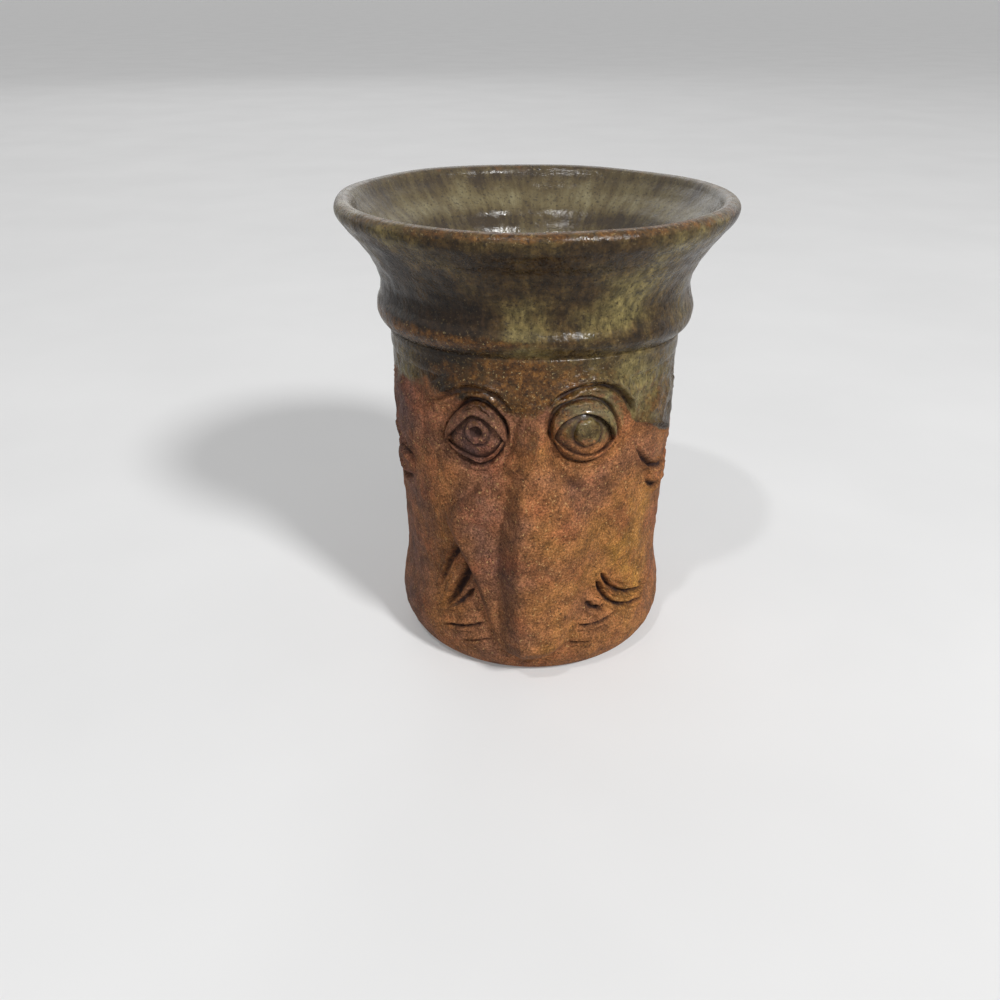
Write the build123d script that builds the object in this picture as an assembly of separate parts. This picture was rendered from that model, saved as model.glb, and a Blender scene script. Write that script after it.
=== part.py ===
"""Stoneware face vase: a thrown body and flared collar, applied clay features and two glaze coats.

Millimetres, +Z up. The origin is the centre of the flat foot, and the face looks along -Y.
Angles run round the pot from the middle of the face, positive towards +X.
"""

import os
from math import cos, radians, sin

from build123d import *

# Thrown body: outside, from the foot up to the seat of the collar
BODY_RADIUS = 43.0
FOOT_INSET = 6.0
ROLL_SWELL = 0.2
ROLL_HEIGHT = 12.0
WAIST_INSET = 2.0
WAIST_HEIGHT = 27.0
CHEEK_INSET = 0.7
CHEEK_HEIGHT = 65.0
SEAT_HEIGHT = 102.0

# Thrown body: inside
WALL = 5.2
FLOOR = 6.5
WELL_CORNER = 6.0

# Tongue and groove joint, luted with slip, between the body and the collar
TONGUE_INSET = 1.6
TONGUE_WIDTH = 2.2
TONGUE_HEIGHT = 2.0
SLIP_GAP = 0.15

# Flared collar: heights measured up from its seat, radii from the radius of the body
BULGE_SWELL = 3.6
BULGE_RISE = 6.5
NECK_SWELL = 2.1
NECK_RISE = 14.0
FLARE_SHARE = 0.47
FLARE_RISE = 26.0
COLLAR_RISE = 37.6
RIM_SPREAD = 14.6
LIP_RADIUS = 2.2
FLARE_ANGLE = 44.0
THROAT_ANGLE = 150.0
THROAT_RISE = 7.0

# Glaze coats
COAT = 0.4
DIP_DROP = 5.0
DIP_TILT = 3.0

# Eyes, measured down from the seat of the collar
EYE_ANGLE = 20.5
EYE_DROP = 20.0
SOCKET_DEPTH = 2.0
BALL_RADIUS = 18.0
BALL_RELIEF = 1.7
LEFT_IRIS_RADIUS = 3.4
RIGHT_IRIS_RADIUS = 4.6
IRIS_RELIEF = 0.9
IRIS_FLOOR = 0.3
PUPIL_SHARE = 0.5
RING_WIDTH = 0.8

# Lids: coils from corner to corner of the eye, pressed on so that part of the round stands out
INNER_CORNER_SPREAD = 12.0
INNER_CORNER_DROP = 0.5
OUTER_CORNER_SPREAD = 15.0
OUTER_CORNER_DROP = 4.0
LID_RADIUS = 1.8
LID_RELIEF = 1.3
LID_RISE = 8.4
LOWER_LID_RADIUS = 1.2
LOWER_LID_RELIEF = 0.9
LOWER_LID_DROP = 8.6

# Brows: coils from the bridge of the nose over the eye to the temple
BROW_RADIUS = 2.4
BROW_RELIEF = 1.6
BROW_INNER_ANGLE = 6.5
BROW_INNER_DROP = 7.5
BROW_CREST_ANGLE = 20.0
BROW_CREST_DROP = 4.0
BROW_OUTER_ANGLE = 41.0
BROW_OUTER_DROP = 17.0

# Ears: a flat lump and a lobe under it
EAR_ANGLE = 63.0
EAR_DROP = 26.0
EAR_WIDTH = 24.0
EAR_LENGTH = 32.0
EAR_RELIEF = 2.2
LOBE_DROP = 42.0
LOBE_WIDTH = 17.0
LOBE_LENGTH = 12.0
LOBE_RELIEF = 1.8
LUMP_ROUND = 6.0

# Nose: a long wedge, narrow at the bridge and widest at the wings
NOSE_TOP_DROP = 12.0
NOSE_BOTTOM = 9.5
NOSE_RELIEF = 7.5
NOSE_SINK = 3.0

# Incised strokes and lines beside the nose
STROKE_RADIUS = 1.2
STROKE_DEPTH = 0.9
LINE_RADIUS = 0.8
LINE_DEPTH = 0.5

FOOT_RADIUS = BODY_RADIUS - FOOT_INSET
ROLL_RADIUS = BODY_RADIUS + ROLL_SWELL
WAIST_RADIUS = BODY_RADIUS - WAIST_INSET
CHEEK_RADIUS = BODY_RADIUS - CHEEK_INSET
BULGE_RADIUS = BODY_RADIUS + BULGE_SWELL
NECK_RADIUS = BODY_RADIUS + NECK_SWELL
RIM_RADIUS = BODY_RADIUS + RIM_SPREAD
FLARE_RADIUS = NECK_RADIUS + FLARE_SHARE * (RIM_RADIUS - NECK_RADIUS)
CREST_RADIUS = RIM_RADIUS - LIP_RADIUS
WELL_RADIUS = WAIST_RADIUS - WALL
RIM_HEIGHT = SEAT_HEIGHT + COLLAR_RISE
EYE_HEIGHT = SEAT_HEIGHT - EYE_DROP
SIDES = {"left": -1, "right": 1}


# Half sections, with the radius along X and the height along Y

def foot_curve():
    """Arc from the flat foot to the widest point of the foot roll, upright at its top."""
    reach = ROLL_RADIUS - FOOT_RADIUS
    radius = (reach**2 + ROLL_HEIGHT**2) / (2 * reach)
    return RadiusArc((FOOT_RADIUS, 0), (ROLL_RADIUS, ROLL_HEIGHT), -radius)


def wall_curve(grow=0.0):
    """Wall from the foot roll through the waist and the cheek to the seat of the collar."""
    return Spline(
        (ROLL_RADIUS + grow, ROLL_HEIGHT),
        (WAIST_RADIUS + grow, WAIST_HEIGHT),
        (CHEEK_RADIUS + grow, CHEEK_HEIGHT),
        (BODY_RADIUS + grow, SEAT_HEIGHT),
        tangents=((0, 1), (0, 1)),
    )


def lip_point(angle, radius):
    """Point on the round of the lip; the angle runs from straight out over the crest."""
    return (
        CREST_RADIUS + radius * cos(radians(angle)),
        RIM_HEIGHT - LIP_RADIUS + radius * sin(radians(angle)),
    )


def collar_curves(grow=0.0):
    """Collar outside, from the seat round the bulge and up the flare to the crest of the lip."""
    lip = LIP_RADIUS + grow
    flare_end = lip_point(-FLARE_ANGLE, lip)
    outside = Spline(
        (BODY_RADIUS + grow, SEAT_HEIGHT),
        (BULGE_RADIUS + grow, SEAT_HEIGHT + BULGE_RISE),
        (NECK_RADIUS + grow, SEAT_HEIGHT + NECK_RISE),
        (FLARE_RADIUS + grow, SEAT_HEIGHT + FLARE_RISE),
        flare_end,
        tangents=((1, 0.5), (sin(radians(FLARE_ANGLE)), cos(radians(FLARE_ANGLE)))),
    )
    rounding = ThreePointArc(flare_end, lip_point(20, lip), lip_point(90, lip))
    return outside, rounding


def throat_curves(grow=0.0):
    """Collar inside, from the crest of the lip down the throat to the well."""
    lip = LIP_RADIUS + grow
    throat_start = lip_point(THROAT_ANGLE, lip)
    middle = lip_point((90 + THROAT_ANGLE) / 2, lip)
    rounding = ThreePointArc(lip_point(90, lip), middle, throat_start)
    inside = Spline(
        throat_start,
        (WELL_RADIUS - grow, SEAT_HEIGHT + THROAT_RISE),
        tangents=((-sin(radians(THROAT_ANGLE)), cos(radians(THROAT_ANGLE))), (0, -1)),
    )
    return rounding, inside


def turned(*curves):
    """Solid of revolution from the curves of a closed half section."""
    return revolve(Plane.XZ * make_face(curves), Axis.Z)


def filled(*curves):
    """Solid of revolution between the axis and a run of curves, closed level at both ends."""
    start = curves[0] @ 0
    end = curves[-1] @ 1
    return turned(*curves, Polyline((end.X, end.Y), (0, end.Y), (0, start.Y), (start.X, start.Y)))


def cavity(grow=0.0):
    """Space inside the pot, from the floor of the well up to the crest of the lip."""
    corner = WELL_CORNER - grow
    radius = WELL_RADIUS - grow
    floor = FLOOR + grow
    rounding, inside = throat_curves(grow)
    crest = rounding @ 0
    return turned(
        rounding,
        inside,
        Line((radius, SEAT_HEIGHT + THROAT_RISE), (radius, floor + corner)),
        RadiusArc((radius, floor + corner), (radius - corner, floor), corner),
        Polyline(
            (radius - corner, floor),
            (0, floor),
            (0, RIM_HEIGHT + COAT),
            (crest.X, RIM_HEIGHT + COAT),
            *(() if grow else ((crest.X, crest.Y),)),
        ),
    )


def skin(curves, grown):
    """Solid coat between a run of curves and the same run grown outwards."""
    bottom = Line((curves[0] @ 0), (grown[0] @ 0))
    top = Line((curves[-1] @ 1), (grown[-1] @ 1))
    return turned(*curves, top, *grown, bottom)


def ring(inner, outer, bottom, height):
    """Flat-topped ring about the axis of the pot."""
    upright = (Align.CENTER, Align.CENTER, Align.MIN)
    band = Cylinder(outer, height, align=upright) - Cylinder(inner, height, align=upright)
    return Pos(0, 0, bottom) * band


# Places and forms on the outside of the body

FOOT_CURVE = foot_curve()
WALL_CURVE = wall_curve()


def radius_at(height):
    """Outside radius of the body at a height, found by halving the climbing curve."""
    curve = WALL_CURVE if height > ROLL_HEIGHT else FOOT_CURVE
    low, high = 0.0, 1.0
    for _ in range(40):
        middle = (low + high) / 2
        if (curve @ middle).Y < height:
            low = middle
        else:
            high = middle
    return (curve @ low).X


def on_wall(angle, height, lift=0.0):
    """Point on the wall, or lifted off it along the radius."""
    radius = radius_at(height) + lift
    return Vector(radius * sin(radians(angle)), -radius * cos(radians(angle)), height)


def facing(angle, height, lift=0.0):
    """Plane on the wall whose Z points outwards and whose Y points up."""
    return Plane(
        origin=on_wall(angle, height, lift),
        x_dir=(cos(radians(angle)), sin(radians(angle)), 0),
        z_dir=(sin(radians(angle)), -cos(radians(angle)), 0),
    )


def lump(angle, height, width, length, relief):
    """Ellipsoid sunk in the wall that stands out of it by its relief."""
    ball = scale(Sphere(1), by=(width / 2, length / 2, LUMP_ROUND))
    return facing(angle, height, relief - LUMP_ROUND) * ball


def coil(places, radius, relief):
    """Round coil on an arc through three places on the wall, each an angle and a height."""
    path = ThreePointArc(*[on_wall(angle, height, relief - radius) for angle, height in places])
    start = radians(places[0][0])
    section = Plane(origin=path @ 0, x_dir=(sin(start), -cos(start), 0), z_dir=path % 0)
    return sweep(section * Circle(radius), path)


def incised(places, radius, depth):
    """Groove cutter: a round tool drawn along the wall, sunk in it by the depth."""
    return coil(places, radius, 2 * radius - depth)


def nose_section(height, left, ridge, right, relief):
    """Level section of the nose: two flanks that rise from the wall to a rounded ridge."""
    front = Spline(
        on_wall(left, height),
        on_wall((left + ridge) / 2, height, 0.35 * relief),
        on_wall(ridge, height, relief),
        on_wall((ridge + right) / 2, height, 0.55 * relief),
        on_wall(right, height),
    )
    back = Polyline(
        on_wall(right, height),
        on_wall(right, height, -NOSE_SINK),
        on_wall(left, height, -NOSE_SINK),
        on_wall(left, height),
    )
    return make_face((front, back))


pieces = {}

# Body: the thrown form with its well, the tongue, the imprints of the eyeballs and the strokes

outer_form = filled(FOOT_CURVE, WALL_CURVE)
sunk_radius = BODY_RADIUS - SOCKET_DEPTH
sunk_top = Line((sunk_radius, SEAT_HEIGHT), (sunk_radius, RIM_HEIGHT))
sunk_form = filled(wall_curve(-SOCKET_DEPTH), sunk_top)
tongue_radius = WELL_RADIUS + TONGUE_INSET
tongue = ring(tongue_radius, tongue_radius + TONGUE_WIDTH, SEAT_HEIGHT, TONGUE_HEIGHT)
body = outer_form - cavity() + tongue

eye_centres = {}
for name, side in SIDES.items():
    place = on_wall(side * EYE_ANGLE, EYE_HEIGHT, BALL_RELIEF - BALL_RADIUS)
    eye_centres[name] = Pos(place)
    pieces[f"{name}_eyeball"] = Pos(place) * Sphere(BALL_RADIUS) - sunk_form
    body -= pieces[f"{name}_eyeball"]

strokes = (
    ((-30, 42), (-36, 35.5), (-45, 24)),
    ((-29, 34), (-33, 27), (-43, 19.5)),
    ((-25, 27.5), (-31, 22.3), (-37.5, 19.5)),
    ((33, 32), (45, 24), (66, 19.5)),
    ((30, 29), (40, 21.5), (53, 18.3)),
    ((25.5, 24), (29, 22.3), (32.5, 20.3)),
)
for places in strokes:
    body -= incised(places, STROKE_RADIUS, STROKE_DEPTH)
lines = (
    ((-38, 13.7), (-30, 15.2), (-20, 18)),
    ((-29.5, 10), (-22.5, 11.6), (-15, 13.8)),
    ((22, 17.8), (31, 18.2), (40, 18.4)),
    ((18, 12.8), (23, 12.1), (28, 11.3)),
)
for places in lines:
    body -= incised(places, LINE_RADIUS, LINE_DEPTH)
pieces["thrown_body"] = body

# Collar, with the groove that takes the tongue

throat_end = (WELL_RADIUS, SEAT_HEIGHT + THROAT_RISE)
seat = Polyline(throat_end, (WELL_RADIUS, SEAT_HEIGHT), (BODY_RADIUS, SEAT_HEIGHT))
groove = ring(
    tongue_radius - SLIP_GAP,
    tongue_radius + TONGUE_WIDTH + SLIP_GAP,
    SEAT_HEIGHT,
    TONGUE_HEIGHT + SLIP_GAP,
)
pieces["flared_collar"] = turned(*collar_curves(), *throat_curves(), seat) - groove

# Nose

# A station is a share of the nose's length from its bottom, the angles of its left edge, ridge
# and right edge, and a share of its full relief
nose_stations = (
    (1.0, -3.0, 0.0, 3.0, 0.12),
    (0.85, -6.5, 0.5, 6.5, 0.4),
    (0.69, -18.0, -3.0, 17.0, 0.7),
    (0.52, -28.0, -5.5, 28.0, 1.0),
    (0.32, -23.0, -3.5, 25.0, 1.0),
    (0.15, -15.5, -1.0, 20.0, 0.9),
    (0.0, -7.0, 0.0, 9.0, 0.4),
)
nose_length = SEAT_HEIGHT - NOSE_TOP_DROP - NOSE_BOTTOM
nose_sections = [
    nose_section(NOSE_BOTTOM + share * nose_length, left, ridge, right, relief * NOSE_RELIEF)
    for share, left, ridge, right, relief in nose_stations
]
pieces["nose_wedge"] = loft(nose_sections) - outer_form

# Irises, lids, brows and ears, on both sides

iris_radii = {"left": LEFT_IRIS_RADIUS, "right": RIGHT_IRIS_RADIUS}
for name, side in SIDES.items():
    eye_angle = side * EYE_ANGLE
    centre = eye_centres[name]
    ball = centre * Sphere(BALL_RADIUS)
    bore = facing(eye_angle, EYE_HEIGHT)
    radius = iris_radii[name]
    iris = centre * Sphere(BALL_RADIUS + IRIS_RELIEF) & bore * Cylinder(radius, BALL_RADIUS)
    pupil = bore * Cylinder(PUPIL_SHARE * radius, BALL_RADIUS)
    if name == "right":
        pupil -= bore * Cylinder(PUPIL_SHARE * radius - RING_WIDTH, BALL_RADIUS)
    pupil -= centre * Sphere(BALL_RADIUS + IRIS_FLOOR)
    pieces[f"{name}_iris"] = iris - ball - pupil

    inner = (side * (EYE_ANGLE - INNER_CORNER_SPREAD), EYE_HEIGHT - INNER_CORNER_DROP)
    outer = (side * (EYE_ANGLE + OUTER_CORNER_SPREAD), EYE_HEIGHT - OUTER_CORNER_DROP)
    above = (eye_angle, EYE_HEIGHT + LID_RISE)
    below = (eye_angle, EYE_HEIGHT - LOWER_LID_DROP)
    upper_lid = coil((inner, above, outer), LID_RADIUS, LID_RELIEF) - outer_form - ball
    lower_lid = coil((inner, below, outer), LOWER_LID_RADIUS, LOWER_LID_RELIEF) - outer_form - ball
    pieces[f"{name}_upper_lid"] = upper_lid
    pieces[f"{name}_lower_lid"] = lower_lid - upper_lid

    bridge = (side * BROW_INNER_ANGLE, SEAT_HEIGHT - BROW_INNER_DROP)
    crest = (side * BROW_CREST_ANGLE, SEAT_HEIGHT - BROW_CREST_DROP)
    temple = (side * BROW_OUTER_ANGLE, SEAT_HEIGHT - BROW_OUTER_DROP)
    brow = coil((bridge, crest, temple), BROW_RADIUS, BROW_RELIEF) - outer_form
    pieces[f"{name}_brow"] = brow

    ear_angle = side * EAR_ANGLE
    upper = lump(ear_angle, SEAT_HEIGHT - EAR_DROP, EAR_WIDTH, EAR_LENGTH, EAR_RELIEF)
    lobe = lump(ear_angle, SEAT_HEIGHT - LOBE_DROP, LOBE_WIDTH, LOBE_LENGTH, LOBE_RELIEF)
    pieces[f"{name}_ear"] = upper + lobe - outer_form - brow

# Glaze coats: the dip over the collar and the liner inside, which meet on the crest of the lip

dip_plane = Plane.XY.offset(SEAT_HEIGHT - DIP_DROP).rotated((0, DIP_TILT, 0))
skirt = split(skin([wall_curve()], [wall_curve(COAT)]), dip_plane, keep=Keep.TOP)
coat = skirt + skin(collar_curves(), collar_curves(COAT))
for name in SIDES:
    coat = coat - pieces[f"{name}_brow"] - pieces[f"{name}_ear"]
pieces["dip_glaze"] = coat.solids().sort_by(SortBy.VOLUME)[-1]
pieces["liner_glaze"] = cavity() - cavity(COAT)

os.makedirs("parts", exist_ok=True)
for name, piece in pieces.items():
    export_step(piece, f"parts/{name}.step")
    print(f"{name}: {len(piece.solids())} solid, {piece.volume / 1000:.3f} cm3, {piece.is_valid}")
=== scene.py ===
# %% [markdown]
# # A stoneware face vase
# The real vase is a thrown pot: a straight-sided body, and a flared collar thrown
# separately and joined on at the shoulder. A folk face is laid on the wall in soft
# clay: a long wedge of a nose, rolled lids and brows, balls for the eyes and flat
# pads for the ears, with tool strokes round the nose. The collar was then dipped in
# an olive ash glaze, the inside was poured with a liner, and the lower wall was
# left bare, where the fire toasted the clay.
#
# The lesson follows the potter: throw, mark, lay on, dip, fire. The first cell loads
# the CAD frame, so that each piece is made where its solid stands, in metres.

import math

import bmesh
import bpy
import numpy as np
from mathutils import Matrix


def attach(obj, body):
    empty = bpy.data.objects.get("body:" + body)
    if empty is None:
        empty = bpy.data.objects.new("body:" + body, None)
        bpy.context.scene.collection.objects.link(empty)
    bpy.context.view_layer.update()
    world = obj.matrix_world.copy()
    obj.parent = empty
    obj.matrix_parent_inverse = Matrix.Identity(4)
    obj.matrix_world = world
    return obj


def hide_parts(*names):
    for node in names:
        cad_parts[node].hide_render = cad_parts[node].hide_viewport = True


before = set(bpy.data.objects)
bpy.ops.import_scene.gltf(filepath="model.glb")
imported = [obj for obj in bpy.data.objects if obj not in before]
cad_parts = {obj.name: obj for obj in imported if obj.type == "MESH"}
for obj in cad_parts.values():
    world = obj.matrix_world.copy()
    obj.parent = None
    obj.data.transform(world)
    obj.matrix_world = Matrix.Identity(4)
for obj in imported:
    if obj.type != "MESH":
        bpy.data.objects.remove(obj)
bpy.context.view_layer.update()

# %% [markdown]
# ## The camera
# The vase is seen from a little above, close enough that the rim spreads and the foot
# narrows. A camera can be aimed by eye, or solved from known sizes. Here the height
# of the pot and the ellipses of its rim and foot fix one place and one tilt, so the
# camera comes first and every mark can be judged against the photograph.

# %% Set the camera
CAMERA_PLACE = (0.00245, -0.29547, 0.1918)
CAMERA_TILT, CAMERA_TURN = 62.85, 2.5
LENS = SENSOR = 36.0
camera_data = bpy.data.cameras.new("camera")
camera_data.lens = LENS
camera_data.sensor_width = SENSOR
camera = bpy.data.objects.new("camera", camera_data)
camera.location = CAMERA_PLACE
camera.rotation_euler = (math.radians(CAMERA_TILT), 0.0, math.radians(CAMERA_TURN))
bpy.context.scene.collection.objects.link(camera)
bpy.context.scene.camera = camera
print("camera at", tuple(camera.location))

# %% [markdown]
# ## Drawing on the wall
# Marks on a pot are easiest to think of on the unrolled wall: an angle round the pot,
# counted from the middle of the face, and a height above the table. A few small helpers
# do most of the work. `flow` runs a smooth line through a few given points, `ease` is
# the soft step that every edge in clay has, `hump` is a soft bump, and `patch` is such a
# bump both round the wall and up it. Painting by hand would give the same patches, but a
# short table of them is easier to move and to repeat.

# %% Lines and soft steps
MM = 0.001


def flow(points, count=48):
    """A smooth line through a few points."""
    p = np.array(points, float)
    p = np.vstack([2 * p[0] - p[1], p, 2 * p[-1] - p[-2]])
    spans = len(p) - 3
    t = np.linspace(0, spans, count)
    i = np.minimum(t.astype(int), spans - 1)
    f = (t - i)[:, None]
    a, b, c, d = p[i], p[i + 1], p[i + 2], p[i + 3]
    bend = (2 * a - 5 * b + 4 * c - d) * f**2 + (3 * b - a - 3 * c + d) * f**3
    return 0.5 * (2 * b + (c - a) * f + bend)


def ease(x, low, high):
    """0 below low, 1 above high, and a soft step between them."""
    t = np.clip((x - low) / (high - low), 0, 1)
    return t * t * (3 - 2 * t)


def hump(x, centre, width):
    """A soft bump of height 1."""
    return np.exp(-(((x - centre) / width) ** 2))


def patch(phi, z, angle, wide, height, tall):
    """A soft patch on the wall, 1 in its middle."""
    return hump(phi, angle, wide) * hump(z, height, tall)


def patches(phi, z, table):
    """Adds up patches, each a strength with its angle, width, height and spread up the wall."""
    return sum(strength * patch(phi, z, *place) for strength, *place in table)


print("flow gives", len(flow([(0, 0), (1, 1)])), "points")

# %% [markdown]
# ## The thrown wall
# On the real pot the wall comes up from a narrow, rounded foot, draws in at the mouth
# of the face and swells again to the shoulder. The line below is that outside, as
# radius and height in millimetres. A straight cylinder would be quicker, but no
# hand-thrown pot is straight or quite round, so every piece shares this line, one faint
# wobble and the finger marks, and anything laid on the wall follows them.

# %% The outside line
FACE_RADIUS = 43.0
WALL_TOP = 102.0
WALL_LINE = flow(
    [
        (37.0, 0.0), (39.7, 1.9), (41.7, 5.0), (42.9, 8.6), (43.2, 12.5), (42.6, 18),
        (41.4, 25), (41.0, 31), (41.4, 42), (42.0, 54), (42.4, 66), (42.7, 80),
        (42.9, 92), (43.0, WALL_TOP),
    ],
    260,
)


def wall_radius(z):
    return np.interp(z, WALL_LINE[:, 1], WALL_LINE[:, 0])


def wobble(phi, z):
    """How far the wheel and the hand left the pot out of round, in mm."""
    turn = np.radians(phi)
    slow = 0.22 * np.sin(2 * turn + 0.03 * z + 0.6) + 0.12 * np.sin(3 * turn - 0.05 * z)
    rings = 0.05 * np.sin(z * 1.05 + turn) + 0.04 * np.sin(z * 0.47 - turn + 1.0)
    return slow * ease(z, 0, 12) + rings * ease(z, 3, 12)


LUMPS = [
    # share of the relief, waves per mm round and up the wall, start of the wave
    (0.30, 0.62, 0.35, 0.4), (0.26, -0.48, 0.66, 1.9), (0.22, 0.95, -0.42, 3.1),
    (0.18, 1.25, 0.9, 5.0), (0.16, -1.05, 1.4, 2.2), (0.12, 1.9, 0.3, 0.9),
    (0.1, 0.4, -2.1, 4.4),
]
LUMP_RISE = 0.2


def lumps(phi, z):
    """Small hills and hollows that fingers leave in soft clay, in mm."""
    s = np.radians(phi) * FACE_RADIUS
    waves = sum(share * np.sin(a * s + b * z + c) for share, a, b, c in LUMPS)
    return LUMP_RISE * waves * ease(z, 1, 6)


def on_wall(phi, z, lift):
    """Places points given by angle, height and lift off the wall, in mm, in metres."""
    r = wall_radius(z) + wobble(phi, z) + lumps(phi, z) + lift
    turn = np.radians(phi)
    return np.stack([r * np.sin(turn), -r * np.cos(turn), z], 1) * MM


for label, level in (("foot", 0.0), ("waist", 31.0), ("shoulder", WALL_TOP)):
    print(label, "radius", round(float(wall_radius(level)), 2), "mm")

# %% [markdown]
# ## The tool strokes
# The potter drew with the edge of a wooden tool: lines round the lids, folds under the
# brows, outlines of the ears, and slashes that fan out beside the nose. A tool does not
# only take clay away, it pushes up a small burr on each side. Each mark is a line on the
# wall with a width, a depth and the share of its length where the tool comes in and lifts
# out, and `cut` gives its relief. A displacement texture could draw the lines too, but
# real relief keeps its shape from every side and in the mesh itself.

# %% The marks
MARKS = [
    # line (angle, height), half width, depth, run-in, run-out
    # round the left eye
    ([
        (-36.6, 76.2), (-34.2, 80.6), (-30.9, 85.3), (-25.6, 89.6), (-21.3, 91.6), (-16.7, 90.9),
        (-12.8, 88.2), (-10.0, 85), (-8.4, 79.6),
    ], 0.95, 1.1, 0.08, 0.08),
    ([
        (-34.5, 76.4), (-32.0, 75.4), (-26.2, 73.5), (-20.8, 72.1), (-17, 72.6), (-13.3, 75.6),
        (-9.8, 79.8),
    ], 1.0, 1.0, 0.15, 0.12),
    # round the right eye
    ([
        (8.0, 80.0), (6.6, 84), (8.2, 89.1), (12.6, 91.7), (19.5, 92.5), (26.1, 91.2), (31.3, 87.8),
        (34.6, 83.4), (35.9, 77.6),
    ], 0.8, 0.9, 0.08, 0.08),
    ([
        (8.2, 81.0), (12.3, 76.7), (16.9, 74.2), (21.6, 73.0), (27.5, 73.7), (32.2, 76.0), (35.0, 78.0),
    ], 1.05, 1.0, 0.12, 0.15),
    # the folds under the brows
    ([
        (6.5, 90.5), (9.5, 93.2), (15.8, 95.3), (21.1, 96.2), (28.1, 95.3), (35.1, 91.9), (40.1, 87.3),
        (43.0, 82.0),
    ], 1.15, 1.05, 0.2, 0.2),
    ([
        (-42.8, 87.6), (-37.2, 89.3), (-29.9, 92.6), (-23.3, 94.6), (-15.4, 94.3), (-9.8, 91.2),
        (-7.6, 88.6),
    ], 1.2, 0.7, 0.3, 0.3),
    # slashes left of the nose
    ([
        (-27.2, 45.0), (-30.4, 41.8), (-35, 37.3), (-39.2, 30.8), (-43.0, 25.4), (-47.5, 21.8),
    ], 1.6, 1.7, 0.05, 0.75),
    ([
        (-24.6, 38.6), (-27.4, 33.6), (-31.0, 28.2), (-35.4, 22.8), (-39.5, 19.6), (-45.5, 18.2),
    ], 2.2, 2.7, 0.06, 0.6),
    ([(-23.4, 29.6), (-28.4, 24.8), (-33.5, 21.2), (-41, 18.6)], 1.2, 1.3, 0.15, 0.6),
    ([(-36.5, 40.2), (-40.2, 33.6), (-45.5, 26.2)], 0.7, 0.45, 0.3, 0.6),
    ([(-39.5, 13.2), (-30.2, 14.9), (-24, 16.4), (-17.6, 18.8)], 0.8, 1.1, 0.2, 0.2),
    ([(-30.5, 9.4), (-22.6, 11.3), (-13.6, 14.1)], 0.65, 0.7, 0.3, 0.2),
    # strokes right of the nose
    ([
        (31.8, 34.0), (34.6, 30.2), (38.8, 26.9), (45.3, 24.1), (55.6, 22.1), (62, 23.0), (68, 25.6),
    ], 0.95, 1.5, 0.05, 0.35),
    ([
        (29.6, 31.6), (32.0, 27.2), (35.8, 23.6), (42.4, 20.5), (54.5, 18.6), (58, 19.0),
    ], 0.95, 1.5, 0.05, 0.25),
    ([(37.5, 30.6), (43.5, 27.2), (51, 25.4)], 0.6, 0.5, 0.3, 0.5),
    ([(33.4, 31.0), (37.0, 27.2), (42.8, 23.7), (50, 21.2)], 0.55, 0.8, 0.1, 0.6),
    ([(24.4, 25.4), (27.2, 23.0), (30.0, 22.2), (34.2, 19.2)], 1.25, 1.5, 0.1, 0.3),
    ([(30.0, 22.2), (33.6, 23.4)], 0.9, 1.0, 0.2, 0.4),
    ([(20.6, 18.0), (26.9, 17.4), (33.5, 18.0), (41.0, 19.8)], 0.85, 1.2, 0.1, 0.3),
    ([(16.6, 13.1), (21.9, 12.1), (28.6, 11.2)], 0.65, 0.95, 0.15, 0.3),
    # folds of the left ear
    ([(-76, 73.0), (-70.3, 70.9), (-66, 68.9), (-58.3, 67.0), (-51, 66.2)], 1.5, 1.5, 0.2, 0.4),
    ([(-72, 62.0), (-67, 60.0), (-62, 59.0), (-56, 59.4)], 1.6, 1.4, 0.3, 0.4),
    # folds of the right ear
    ([
        (44.2, 79.6), (45.3, 74.2), (49.9, 69.2), (56.9, 64.9), (64.3, 63.2), (74, 62.8),
    ], 1.1, 1.2, 0.5, 0.2),
    ([(52.0, 62.5), (57, 58.7), (64.5, 56.6), (72, 58.6)], 1.3, 1.3, 0.4, 0.25),
    ([(43.5, 82.4), (48, 80.2), (58.1, 77.6), (66, 75.0), (74, 72.8)], 0.8, 0.6, 0.3, 0.3),
    # the outlines of the ears
    ([
        (-62, 58.6), (-72, 60.0), (-80.5, 65.5), (-85, 73.5), (-84.5, 82), (-78, 88.5), (-69, 91),
    ], 1.3, 1.0, 0.4, 0.4),
    ([
        (64, 56.4), (75, 58.6), (82, 65), (85.5, 73), (85, 82), (79, 88.5), (70, 91.5),
    ], 1.3, 1.0, 0.4, 0.4),
    # a faint crease on the right cheek
    ([(7.5, 74.4), (12, 70.0), (18, 65.6), (24, 60.6), (29.5, 55.6)], 1.7, 0.32, 0.4, 0.3),
]
MARK_LINES = [flow(mark[0], 30) for mark in MARKS]
BURR = 0.72
BURR_FROM_DEPTH = 1.2
CHATTER = ((0.1, 29, 7), (0.08, 67, 3))


def from_line(phi, z, line, reach):
    """How far each point is from a line on the wall, in mm, and how far along it."""
    x = np.radians(phi) * FACE_RADIUS
    s, h = np.radians(line[:, 0]) * FACE_RADIUS, line[:, 1]
    far = np.full(x.shape, 99.0)
    along = np.zeros(x.shape)
    near = (x > s.min() - reach) & (x < s.max() + reach)
    near &= (z > h.min() - reach) & (z < h.max() + reach)
    xn, zn, best, where = x[near], z[near], far[near], along[near]
    for k in range(len(s) - 1):
        dx, dz = s[k + 1] - s[k], h[k + 1] - h[k]
        t = np.clip(((xn - s[k]) * dx + (zn - h[k]) * dz) / (dx * dx + dz * dz), 0, 1)
        d = np.hypot(xn - s[k] - t * dx, zn - h[k] - t * dz)
        closer = d < best
        best[closer] = d[closer]
        where[closer] = (k + t[closer]) / (len(s) - 1)
    far[near], along[near] = best, where
    return far, along


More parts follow.
